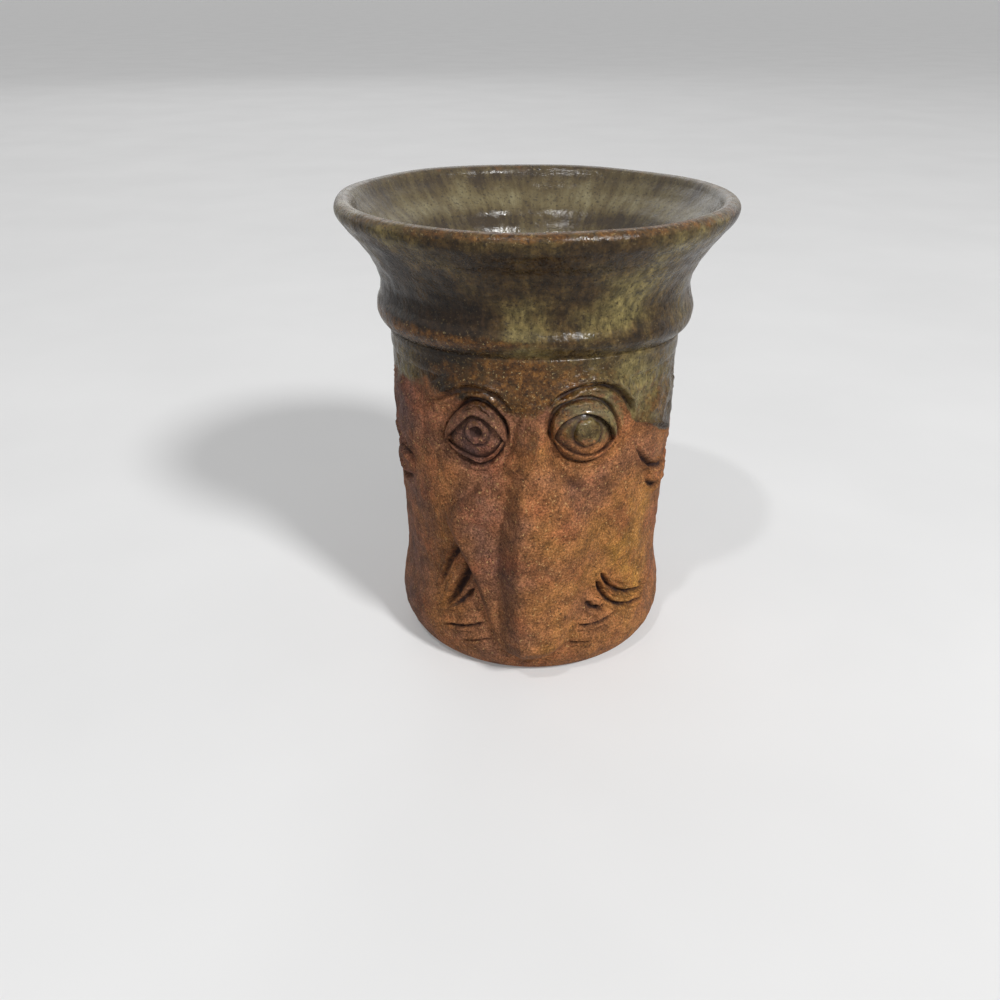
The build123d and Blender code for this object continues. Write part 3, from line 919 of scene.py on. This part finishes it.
def brow_shape(line):
    line = flow(line, LINE_POINTS)
    s = np.radians(line[:, 0]) * FACE_RADIUS
    way = np.gradient(np.stack([s, line[:, 1]], 1), axis=0)
    way /= np.linalg.norm(way, axis=1)[:, None]

    def shape(u, v):
        place = np.linspace(0, 1, LINE_POINTS)
        x, z, wx, wz = (np.interp(u, place, k) for k in (s, line[:, 1], way[:, 0], way[:, 1]))
        t = 2 * v - 1
        taper = np.sqrt(np.clip(np.sin(np.pi * np.clip(u, 0, 1)), 0, 1))
        half = BROW_HALF * (0.4 + 0.6 * taper)
        phi = np.degrees((x - wz * t * half) / FACE_RADIUS)
        z = z + wx * t * half
        relief, shade = wall_relief(phi, z)
        coil = np.interp(t, COIL[:, 0], COIL[:, 1]) * taper - 0.2 * (1 - taper)
        lift = relief * (1 - ease(z, 97, 101)) + BROW_RISE * coil
        return phi, z, lift, shade * 0.9

    return shape


for name, line in BROWS.items():
    lay_on(name, 90, 22, brow_shape(line))

# %% [markdown]
# ## The ears
# The ears are flat pads at the sides of the head, each with a smaller lobe under it. They
# could be two lumps joined, but seen from the front they are only a low swelling with a
# dark fold, so each is one pad with two soft-edged domes. The outline strokes among the
# marks run round the back of each pad and part it from the wall.

# %% Press on the ears
EARS = {
    # angle, height, half width in degrees, half height
    "left_ear": {"pad": (-63, 79.5, 18, 12.2), "lobe": (-64.5, 63.5, 10.5, 4.2)},
    "right_ear": {"pad": (63, 77.5, 18, 13.5), "lobe": (65, 60.6, 11, 4.1)},
}
PAD_RISE, LOBE_RISE = 1.2, 1.2
EAR_MARGIN = 1.5


def dome(phi, z, centre, power):
    """1 in the middle of a rounded patch, 0 on its outline."""
    a, h, wide, tall = centre
    return 1 - np.abs((phi - a) / wide) ** power - np.abs((z - h) / tall) ** power


def ear_shape(ear):
    a, h, wide, tall = ear["pad"]
    low = ear["lobe"][1] - ear["lobe"][3] - EAR_MARGIN
    high = h + tall + EAR_MARGIN

    def shape(u, v):
        phi = a + (2 * u - 1) * (wide + 2)
        z = low + v * (high - low)
        relief, shade = wall_relief(phi, z)
        pad = PAD_RISE * ease(dome(phi, z, ear["pad"], 2.6), 0, 0.9)
        lobe = LOBE_RISE * ease(dome(phi, z, ear["lobe"], 2.4), 0, 0.7)
        raised = np.maximum(pad, lobe)
        hollow = 0.9 * patch(phi, z, a + 6 * np.sign(a), 5, h + 1, 5) * ease(raised, 0.5, 1.5)
        lift = relief + raised - hollow - 0.4 * (1 - ease(raised, 0.0, 0.35))
        return phi, z, lift, shade

    return shape


for name, ear in EARS.items():
    lay_on(name, 72, 84, ear_shape(ear))

# %% [markdown]
# ## The collar and its glazes
# The collar is thrown as a ring: a bulge over the shoulder, a neck, and a wide flare with
# a rounded lip. The clay itself is hidden, because the dip glaze covers its outside and
# the liner its inside, so all three are thrown from one pair of lines. Where the bulge
# ends, the potter pressed the joint up at the front; `lift_joint` does the same.

# %% Collar lines
COAT = 0.4
CREST_RADIUS, CREST_HEIGHT = 55.4, 139.6
THROAT_RADIUS = 35.8
COLLAR_OUT = flow(
    [
        (CREST_RADIUS, CREST_HEIGHT), (56.6, 139.25), (57.4, 138.4), (57.6, 137.3), (57.2, 135.9),
        (56.1, 134.2), (53.7, 131.3), (51.0, 128.0), (48.4, 124.2), (46.4, 120.2), (45.25, 116.4),
        (45.4, 113.2), (46.2, 110.6), (46.6, 108.6), (46.4, 106.6), (45.6, 104.9), (44.4, 103.6),
        (43.2, 102.6), (42.9, WALL_TOP),
    ],
    130,
)
COLLAR_IN = flow(
    [
        (THROAT_RADIUS, WALL_TOP), (THROAT_RADIUS, 106), (35.85, 111), (36.4, 116.5),
        (38.2, 121.5), (41.6, 126), (45.6, 130), (49.4, 133.6), (52.0, 136.4), (53.2, 138.0),
        (54.1, 139.2), (CREST_RADIUS, CREST_HEIGHT),
    ],
    90,
)


def lift_joint(phi, z):
    """Heights with the joint pressed up at the front, and down a little at the right."""
    front = np.cos(np.radians(np.clip(phi, -90, 90))) ** 2
    return z + 2.6 * front * hump(z, 105.0, 4.2) - 0.5 * patch(phi, z, 62, 18, 104, 4)


def hand_marks(phi, z):
    """Faint throwing rings and a hand's unevenness on the collar, in mm."""
    turn = np.radians(phi)
    rings = 0.05 * np.sin(z * 1.5 + turn) + 0.05 * np.sin(z * 0.62 - turn)
    dents = 0.16 * np.sin(5 * turn + 0.21 * z) * np.sin(0.17 * z + 2 * turn)
    dents = dents + 0.1 * np.sin(11 * turn - 0.3 * z)
    return (rings + dents) * ease(z, 103, 107) + 0.3 * np.sin(2 * turn + 1.1) * ease(z, 112, 138)


def shape_collar(bm, extra=None):
    """Gives a thrown ring the unevenness that all three layers of the collar share."""
    phi, r, z = round_pot(spots(bm))
    turn = np.radians(phi)
    pushed = r + wobble(phi, np.minimum(z, WALL_TOP)) * ease(z, 60, 98) + hand_marks(phi, z)
    if extra is not None:
        pushed = pushed + extra(phi, r, z)
    tilt = -1.3 * ((1 - np.cos(turn)) / 2) ** 2
    tilt = tilt + 0.25 * np.sin(2 * turn + 0.4) + 0.1 * np.sin(7 * turn)
    high = lift_joint(phi, z) + tilt * ease(z, 112, 138)
    move_to(bm, np.stack([pushed * np.sin(turn), -pushed * np.cos(turn), high], 1) * MM)
    return phi, z


print("the lip's crest is", CREST_HEIGHT + COAT, "mm up, with its coat")

# %% Throw the collar
collar_back = [(r + 0.15, z) for r, z in COLLAR_IN[:-1]]
collar = throw([tuple(p) for p in COLLAR_OUT] + collar_back, [(180, 96), (180, 96)])
phi, z = shape_collar(collar)
bare = finish_at(phi, np.minimum(z, 60), np.zeros(len(phi)))
keep_piece(collar, "flared_collar", bare)

# %% [markdown]
# ## The dip glaze
# A glaze is a coat of glass, here about 0.4 mm thick. It could be only a material, but on
# the real pot it is a layer with its own edge: it softens the joint below the bulge and
# ends in a thin run on the shoulder. So it is a skin of its own, thrown just outside the
# clay, and its lower edge dips under the wall's face where the coat thins away.

# %% Dip the collar
skirt = [
    (43.75, WALL_TOP), (43.3, 100.4), (43.36, 99.2), (43.34, 98.0), (43.25, 97.0),
    (42.95, 96.2), (42.5, 95.6),
]
outside_coat = [
    (r + COAT * ease(139.2 - z, -0.5, 1.5), z + COAT * ease(z, 137.5, 139.2))
    for r, z in COLLAR_OUT[:-4]
]
outside_coat = flow(outside_coat + skirt, 200)
under_coat = [(42.2, 95.8), (42.2, 101.5), (43.0, 103.2)]
under_coat += [tuple(p) for p in COLLAR_OUT[::-1][6::3]] + [(CREST_RADIUS, 139.55)]
under_coat = [(r - 0.1, z - 0.05) for r, z in under_coat]
dip = throw([tuple(p) for p in outside_coat] + under_coat, [(180, 150), (180, 90)])
phi, z = shape_collar(dip)
turn = np.radians(phi)


def lip_wear(phi, z, low, high):
    """The lip, where the glaze ran thin over the edge, most of all at the front."""
    return (0.3 + 0.3 * hump(phi, 12, 60)) * ease(z, low, high)


bulge = hump(z, 107.2 + 0.7 * np.sin(3 * turn), 3.5)
bulge = bulge * (0.16 + 0.72 * ease(-phi, -25, 35) * (1 - ease(-phi, 95, 150)))
forehead = thin_at(phi, z) * (1 - ease(z, 101.0, 105.0))
dip_finish = {
    "thin": np.maximum.reduce([lip_wear(phi, z, 136.4, 139.2), bulge, forehead]),
    "milk": WASH_MILK * (1 - ease(z, 99.0, 106.0)) + 0.5 * ease(z, 138.0, 140.0),
    "pool": pool_at(phi, z),
}
keep_piece(dip, "dip_glaze", dip_finish)

# %% [markdown]
# ## The liner glaze
# The liner was poured in, rolled round and poured out, so it covers the well and the
# throat and meets the dip on the crest of the lip. It is greyer and thicker than the dip,
# and it shows the ridges the thrower's fingers left inside the throat. It could share the
# dip's mesh with a second material, but it is another glaze, so it is a skin of its own.

# %% Pour the liner
LINER_RADIUS = THROAT_RADIUS - COAT
throat = [(r - COAT, z) for r, z in COLLAR_IN[:-20:3]]
throat += [(52.6, 137.7), (53.2, 138.7), (54.1, 139.6), (CREST_RADIUS, CREST_HEIGHT + COAT)]
well = [(0, FLOOR_HEIGHT + 0.6), (24, FLOOR_HEIGHT + 0.6), (30, 7.4), (33.4, 9.4), (35.2, 13.4)]
well += [(LINER_RADIUS, z) for z in (24, 50, 80, 96)]
liner_in = [tuple(p) for p in np.vstack([flow(well, 60), flow(throat, 130)])]
liner_out = [(CREST_RADIUS, CREST_HEIGHT)] + [tuple(p) for p in COLLAR_IN[::-1][2::4]]
liner_out += [(THROAT_RADIUS, z) for z in (90, 50, 14)] + [(33.8, 8.6), (30, 6.55), (0, 6.55)]
liner = throw(liner_in + liner_out, [(180, 110), (180, 110)])


def finger_ridges(phi, r, z):
    """Pushes the liner's face in and out, in mm, and leaves its back alone."""
    turn = np.radians(phi)
    face = r < np.interp(z, COLLAR_IN[:, 1], COLLAR_IN[:, 0], left=THROAT_RADIUS) - 0.2
    ridge = 0.55 * hump(z, 128.2 + 0.7 * np.sin(turn + 0.5), 1.5) - 0.3 * hump(z, 124.6, 1.8)
    rings = 0.14 * np.sin(1.15 * z + turn) * ease(z, 60, 100)
    return -1.0 * face * (ridge + rings) * (1 - ease(z, 133, 138))


phi, z = shape_collar(liner, finger_ridges)
liner_pool = 0.12 * hump(z, 130.5, 2.4) - 0.06 * hump(phi, -128, 40)
liner_pool = liner_pool - 0.16 * hump(z, 124.5, 3.2) - 0.1 * hump(z, 137, 1.8)
liner_finish = {
    "thin": lip_wear(phi, z, 136.8, 139.6),
    "milk": 0.9 - 0.4 * ease(z, 138.0, 140.0),
    "pool": liner_pool,
}
keep_piece(liner, "liner_glaze", liner_finish)

# %% [markdown]
# ## Finishes: small tools for node trees
# Materials are node trees. They could be wired by hand in the editor; short helpers keep
# them readable in code: `node` adds a node and sets its sockets, `ramp` adds a colour
# ramp, `speckle` cuts a noise to grey levels and `dab` lays a colour over another by a
# mask. Each finish that several materials share is a node group, with named outputs for
# colour, roughness and bump height.

# %% Node helpers
def node(tree, kind, inputs=None, **settings):
    made = tree.nodes.new(kind)
    for key, value in settings.items():
        setattr(made, key, value)
    for key, value in (inputs or {}).items():
        if isinstance(value, bpy.types.NodeSocket):
            tree.links.new(value, made.inputs[key])
        else:
            made.inputs[key].default_value = value
    return made


def ramp(tree, factor, stops):
    made = node(tree, "ShaderNodeValToRGB", {"Fac": factor})
    while len(made.color_ramp.elements) < len(stops):
        made.color_ramp.elements.new(0.5)
    for element, (place, colour) in zip(made.color_ramp.elements, stops):
        element.position = place
        element.color = (*colour, 1)
    return made.outputs["Color"]


def grey(level):
    return (level, level, level)


def mix(tree, factor, a, b, kind="MIX"):
    made = node(tree, "ShaderNodeMix", data_type="RGBA", blend_type=kind)
    for key, value in ((0, factor), (6, a), (7, b)):
        if isinstance(value, bpy.types.NodeSocket):
            tree.links.new(value, made.inputs[key])
        else:
            made.inputs[key].default_value = value if key == 0 else (*value, 1)
    return made.outputs[2]


def math_node(tree, operation, a, b, clamp=False):
    made = node(tree, "ShaderNodeMath", {0: a, 1: b}, operation=operation, use_clamp=clamp)
    return made.outputs[0]


def noise(tree, where, scale, detail=3.0, roughness=0.5):
    grain = {"Scale": scale, "Detail": detail, "Roughness": roughness}
    return node(tree, "ShaderNodeTexNoise", {"Vector": where, **grain}).outputs["Fac"]


def spread(tree, value, low, high, source=(0.0, 1.0)):
    """Maps a value from its source range to the range from low to high."""
    limits = {"From Min": source[0], "From Max": source[1], "To Min": low, "To Max": high}
    return node(tree, "ShaderNodeMapRange", {"Value": value, **limits}).outputs[0]


def speckle(tree, where, texture, stops):
    """Noise of a scale, detail and roughness, cut to grey levels."""
    greys = [(place, grey(level)) for place, level in stops]
    return ramp(tree, noise(tree, where, *texture), greys)


def dab(tree, base, mask, share, colour):
    """Lays a colour over the base where the mask says, at a share of its strength."""
    return mix(tree, math_node(tree, "MULTIPLY", mask, share), base, colour)


def swing(tree, value, reach):
    """Turns a noise value into a push of up to about half of reach either way."""
    return math_node(tree, "MULTIPLY", math_node(tree, "SUBTRACT", value, 0.5), reach)


def group(name, inputs, outputs):
    tree = bpy.data.node_groups.new(name, "ShaderNodeTree")
    for label, kind in inputs:
        tree.interface.new_socket(label, in_out="INPUT", socket_type=kind)
    for label, kind in outputs:
        tree.interface.new_socket(label, in_out="OUTPUT", socket_type=kind)
    return tree, node(tree, "NodeGroupInput"), node(tree, "NodeGroupOutput")


def wire(tree, values, target):
    for label, value in values.items():
        tree.links.new(value, target.inputs[label])


NUMBER = "NodeSocketFloat"
FINISH = [("Colour", "NodeSocketColor"), ("Roughness", NUMBER), ("Height", NUMBER)]
print("a finish gives", [label for label, _ in FINISH])

# %% [markdown]
# ## Toasted stoneware
# The bare clay is a coarse iron-bearing stoneware. Flashing in the kiln left it ochre on
# the cheeks and purple-brown in the lee of the flame, with a red blush in patches, and it
# is full of dark iron specks and golden grains, each a fraction of a millimetre. A painted
# texture would do, but would stop at the seams. `Flash` is the mask from the mesh, and
# noise at several scales breaks it up and adds the patches, specks and grains.

# %% The stoneware group
SMOKE_TO_GOLD = [
    (0.05, (0.12, 0.064, 0.054)), (0.35, (0.2, 0.088, 0.048)),
    (0.6, (0.262, 0.109, 0.04)), (0.95, (0.325, 0.155, 0.036)),
]
BLUSH, IRON_SPECK, GOLD_GRAIN = (0.29, 0.092, 0.04), (0.04, 0.02, 0.012), (0.6, 0.37, 0.15)
clay, clay_in, clay_out = group("toasted_stoneware", [("Flash", NUMBER)], FINISH)
where = node(clay, "ShaderNodeTexCoord").outputs["Object"]
elsewhere = {"Vector": where, "Location": (0.31, 0.17, 0.05)}
elsewhere = node(clay, "ShaderNodeMapping", elsewhere).outputs[0]
flame = swing(clay, noise(clay, where, 55, 4, 0.6), 1.1)
fired = math_node(clay, "ADD", clay_in.outputs["Flash"], flame)
tone = ramp(clay, fired, SMOKE_TO_GOLD)
blush = speckle(clay, where, (85, 4, 0.6), [(0.5, 0.0), (0.68, 1.0)])
tone = dab(clay, tone, blush, 0.5, BLUSH)
broad = speckle(clay, where, (210, 5, 0.65), [(0.34, 0.55), (0.66, 1.38)])
tone = mix(clay, 1.0, tone, broad, "MULTIPLY")
sand = speckle(clay, where, (1700, 3, 0.7), [(0.32, 0.42), (0.5, 0.95), (0.68, 1.75)])
tone = mix(clay, 1.0, tone, sand, "MULTIPLY")
specks = speckle(clay, where, (1150, 2, 0.6), [(0.32, 1.0), (0.4, 0.0)])
tone = dab(clay, tone, specks, 0.7, IRON_SPECK)
grains = speckle(clay, elsewhere, (1250, 2, 0.6), [(0.63, 0.0), (0.72, 1.0)])
tone = dab(clay, tone, grains, 0.65, GOLD_GRAIN)
rough = spread(clay, noise(clay, where, 420, 4), 0.45, 0.8)
pebbles = math_node(clay, "MULTIPLY", noise(clay, where, 330, 3), 1.2)
grit = math_node(clay, "ADD", noise(clay, where, 1100, 4, 0.7), pebbles)
wire(clay, {"Colour": tone, "Roughness": rough, "Height": grit}, clay_out)
print("toasted_stoneware has", len(clay.nodes), "nodes")

# %% [markdown]
# ## Ash glaze
# The dip is an ash glaze: olive where it is thick, black-brown where it is full of iron,
# and rust where it is thin over an edge. It ran down in fine streaks while it was molten.
# The pot flares, so streaks in plain coordinates would lean; `Run` is an attribute that
# gives each point its turn and height alone, and the noise is stretched along it. `Thin`
# is the mask for the lip, the bulge and the forehead, `Pool` moves the colour towards
# iron or towards gold, and `Milk` makes the paler liner.

# %% The ash glaze group
IRON_TO_OLIVE = [
    (0.36, (0.018, 0.01, 0.005)), (0.46, (0.045, 0.026, 0.009)),
    (0.54, (0.078, 0.052, 0.018)), (0.66, (0.155, 0.122, 0.045)),
]
MILKY = [
    (0.28, (0.034, 0.021, 0.008)), (0.44, (0.08, 0.057, 0.022)),
    (0.6, (0.13, 0.103, 0.048)), (0.8, (0.21, 0.182, 0.1)),
]
RUST = [(0.34, (0.02, 0.01, 0.004)), (0.5, (0.086, 0.036, 0.01)), (0.68, (0.23, 0.104, 0.026))]
IRON_DOT, GILT = (0.014, 0.009, 0.006), (0.4, 0.3, 0.14)
ASH_MASKS = [("Thin", NUMBER), ("Milk", NUMBER), ("Pool", NUMBER), ("Run", "NodeSocketVector")]
ash, ash_in, ash_out = group("ash_glaze", ASH_MASKS, FINISH)
thin, milk, pool, run = (ash_in.outputs[label] for label, _ in ASH_MASKS)
where = node(ash, "ShaderNodeTexCoord").outputs["Object"]
down = node(ash, "ShaderNodeMapping", {"Vector": run, "Scale": (1.0, 1.0, 0.26)}).outputs[0]
pooled = math_node(ash, "ADD", swing(ash, noise(ash, where, 40, 5, 0.6), 1.0), 0.5)
coat = ramp(ash, math_node(ash, "ADD", pooled, pool), IRON_TO_OLIVE)
streaks = speckle(ash, down, (560, 5, 0.7), [(0.33, 0.4), (0.5, 0.95), (0.67, 1.8)])
streaked = math_node(ash, "SUBTRACT", 0.7, math_node(ash, "MULTIPLY", thin, 0.9), clamp=True)
coat = mix(ash, streaked, coat, streaks, "MULTIPLY")
mottle = speckle(ash, where, (480, 5, 0.7), [(0.36, 0.36), (0.5, 0.95), (0.64, 1.7)])
coat = mix(ash, 0.8, coat, mottle, "MULTIPLY")
pour = swing(ash, noise(ash, down, 520, 5, 0.65), 0.75)
pour = math_node(ash, "ADD", pour, swing(ash, noise(ash, where, 90, 4), 0.7))
pour = math_node(ash, "ADD", math_node(ash, "ADD", pour, 0.5), pool)
coat = mix(ash, milk, coat, ramp(ash, pour, MILKY))
rust = ramp(ash, noise(ash, where, 460, 5, 0.75), RUST)
broken = math_node(ash, "ADD", thin, swing(ash, noise(ash, where, 260, 5, 0.65), 1.3))
broken = ramp(ash, broken, [(0.3, grey(0.0)), (0.72, grey(1.0))])
coat = mix(ash, broken, coat, rust)
iron = speckle(ash, where, (1250, 2, 0.6), [(0.34, 1.0), (0.43, 0.0)])
coat = dab(ash, coat, iron, 0.75, IRON_DOT)
pits = speckle(ash, where, (1500, 2, 0.55), [(0.62, 0.0), (0.72, 1.0)])
gilt = math_node(ash, "ADD", math_node(ash, "MULTIPLY", thin, 0.85), 0.12)
coat = dab(ash, coat, pits, gilt, GILT)
gloss = spread(ash, noise(ash, where, 300, 4), 0.1, 0.36, (0.3, 0.7))
fine = math_node(ash, "MULTIPLY", noise(ash, where, 850, 3, 0.6), 0.55)
skin = math_node(ash, "MULTIPLY", noise(ash, where, 170, 3), 1.6)
skin = math_node(ash, "ADD", fine, skin)
wire(ash, {"Colour": coat, "Roughness": gloss, "Height": skin}, ash_out)
print("ash_glaze has", len(ash.nodes), "nodes")

# %% [markdown]
# ## Three materials from two groups
# The clay pieces mix both groups by the glaze that reached them, and darken by the shade
# attribute, which is painted shade in the marks, along the lids, round the irises and
# beside the nose. A thin clear coat makes the wash shine where it lies wet.
# Each piece could have a material of its own, but then the colours would break at the
# joints. The dip and the liner are the glaze group alone, the liner with the milky share
# that a thick pour has.

# %% Stoneware with its glaze wash
def attribute(tree, name, output="Fac"):
    return node(tree, "ShaderNodeAttribute", attribute_name=name).outputs[output]


def new_material(name):
    material = bpy.data.materials.new(name)
    material.use_nodes = True
    tree = material.node_tree
    return material, tree, tree.nodes["Principled BSDF"]


def use_group(tree, shared, inputs):
    return node(tree, "ShaderNodeGroup", inputs, node_tree=shared)


def use_ash(tree):
    masks = {label.title(): attribute(tree, label) for label in ("thin", "milk", "pool")}
    return use_group(tree, ash, {**masks, "Run": attribute(tree, "run", "Vector")})


BUMP_DISTANCE = 0.0006


def bumped(tree, strength, height):
    bump = {"Strength": strength, "Distance": BUMP_DISTANCE, "Height": height}
    return node(tree, "ShaderNodeBump", bump).outputs[0]


# the colour that the shade attribute mixes in as painted shade
PAINTED_SHADE = (0.027, 0.014, 0.012)
stoneware, tree, shader = new_material("bare_stoneware")
clay_part = use_group(tree, clay, {"Flash": attribute(tree, "flash")})
ash_part = use_ash(tree)
where = node(tree, "ShaderNodeTexCoord").outputs["Object"]
ragged = swing(tree, noise(tree, where, 380, 5, 0.7), 1.5)
cover = math_node(tree, "ADD", attribute(tree, "glaze"), ragged)
cover = ramp(tree, cover, [(0.34, grey(0.0)), (0.72, grey(1.0))])
colour = mix(tree, cover, clay_part.outputs["Colour"], ash_part.outputs["Colour"])
uneven = spread(tree, noise(tree, where, 650, 4, 0.6), 0.55, 1.0, (0.3, 0.62))
shade = math_node(tree, "MULTIPLY", attribute(tree, "shade"), uneven, clamp=True)
colour = mix(tree, shade, colour, PAINTED_SHADE)
rough, height = (
    node(tree, "ShaderNodeMix", {0: cover, 2: clay_part.outputs[k], 3: ash_part.outputs[k]})
    for k in ("Roughness", "Height")
)
wet = math_node(tree, "MULTIPLY", attribute(tree, "wet"), 0.55)
shine = math_node(tree, "MULTIPLY", cover, math_node(tree, "ADD", wet, 0.05))
bump = bumped(tree, 0.9, height.outputs[0])
rough = rough.outputs[0]
wire(tree, {"Base Color": colour, "Roughness": rough, "Normal": bump, "Coat Weight": shine}, shader)
shader.inputs["Coat Roughness"].default_value = 0.12
shader.inputs["Specular IOR Level"].default_value = 0.11
print("bare_stoneware has", len(tree.nodes), "nodes")

# %% The dip and the liner
def glaze_material(name, bump_strength, specular):
    material, tree, shader = new_material(name)
    part = use_ash(tree)
    bump = bumped(tree, bump_strength, part.outputs["Height"])
    colour, rough = part.outputs["Colour"], part.outputs["Roughness"]
    wire(tree, {"Base Color": colour, "Roughness": rough, "Normal": bump}, shader)
    shader.inputs["Specular IOR Level"].default_value = specular
    return material


olive_dip = glaze_material("olive_dip", 0.6, 0.22)
grey_liner = glaze_material("grey_liner", 0.4, 0.38)
glazes = {"dip_glaze": olive_dip, "liner_glaze": grey_liner}
for name, piece in pieces_made.items():
    piece.data.materials.append(glazes.get(name, stoneware))
print(len(pieces_made), "pieces finished")

# %% [markdown]
# ## The studio
# The pot stands on a plain pale floor in front of white, with one soft lamp to the right
# and above that does most of the work, a wide weak one in front, a small one overhead for
# the glints on the glaze, a wide one behind for the back, and light from all round. One
# big lamp would do for a plain picture, but would leave the cut marks flat. The lamps are
# at a plain level, so a colour renders about as it is written, and the white comes from
# the world as the camera and reflections see it.

# %% The floor
FLOOR_RADIUS = 60.0
FLOOR_GLOW = 0.16
floor_bm = bmesh.new()
bmesh.ops.create_circle(floor_bm, cap_ends=True, segments=96, radius=FLOOR_RADIUS)
floor_mesh = bpy.data.meshes.new("floor")
floor_bm.to_mesh(floor_mesh)
floor_bm.free()
floor = bpy.data.objects.new("floor", floor_mesh)
bpy.context.scene.collection.objects.link(floor)
floor_material, tree, shader = new_material("pale_table")
where = node(tree, "ShaderNodeTexCoord").outputs["Object"]
table_tone = speckle(tree, where, (9, 3), [(0.3, 0.6), (0.7, 0.64)])
shader.inputs["Roughness"].default_value = 0.6
shader.inputs["Emission Color"].default_value = (1, 1, 1, 1)
seen = node(tree, "ShaderNodeLightPath").outputs["Is Camera Ray"]
glow = math_node(tree, "MULTIPLY", seen, FLOOR_GLOW)
wire(tree, {"Base Color": table_tone, "Emission Strength": glow}, shader)
floor_mesh.materials.append(floor_material)
print("floor", FLOOR_RADIUS, "m round the pot")

# %% Lamps and world
LAMPS = [
    # name, place, size across in metres, power in watts
    ("key_lamp", (1.05, -1.25, 1.45), 0.34, 40.0),
    ("fill_lamp", (-0.3, -1.8, 0.8), 1.2, 2.5),
    ("top_lamp", (-0.35, -0.85, 1.5), 0.09, 6.0),
    ("back_lamp", (-0.5, 1.7, 1.2), 1.8, 4.0),
]
LAMP_AIM = (0, 0, 0.08)
WORLD_LIGHT, WORLD_SEEN = 0.2, 1.0


def lamp(name, place, size, power):
    """A round area lamp that looks at the middle of the pot."""
    data = bpy.data.lights.new(name, "AREA")
    data.shape = "DISK"
    data.size = size
    data.energy = power
    made = bpy.data.objects.new(name, data)
    made.location = place
    aim = np.array(LAMP_AIM) - np.array(place)
    flat = math.hypot(aim[0], aim[1])
    made.rotation_euler = (math.atan2(flat, -aim[2]), 0, math.atan2(-aim[0], aim[1]))
    bpy.context.scene.collection.objects.link(made)


for lamp_row in LAMPS:
    lamp(*lamp_row)
world = bpy.data.worlds.new("studio")
world.use_nodes = True
bpy.context.scene.world = world
tree = world.node_tree
path = node(tree, "ShaderNodeLightPath")
bent = (path.outputs[f"Is {kind} Ray"] for kind in ("Glossy", "Transmission"))
seen = math_node(tree, "MAXIMUM", path.outputs["Is Camera Ray"], math_node(tree, "MAXIMUM", *bent))
level = spread(tree, seen, WORLD_LIGHT, WORLD_SEEN)
tree.links.new(level, tree.nodes["Background"].inputs["Strength"])
tree.nodes["Background"].inputs["Color"].default_value = (1, 1, 1, 1)
bpy.context.scene.view_settings.view_transform = "Standard"
print("studio lit by", [row[0] for row in LAMPS])
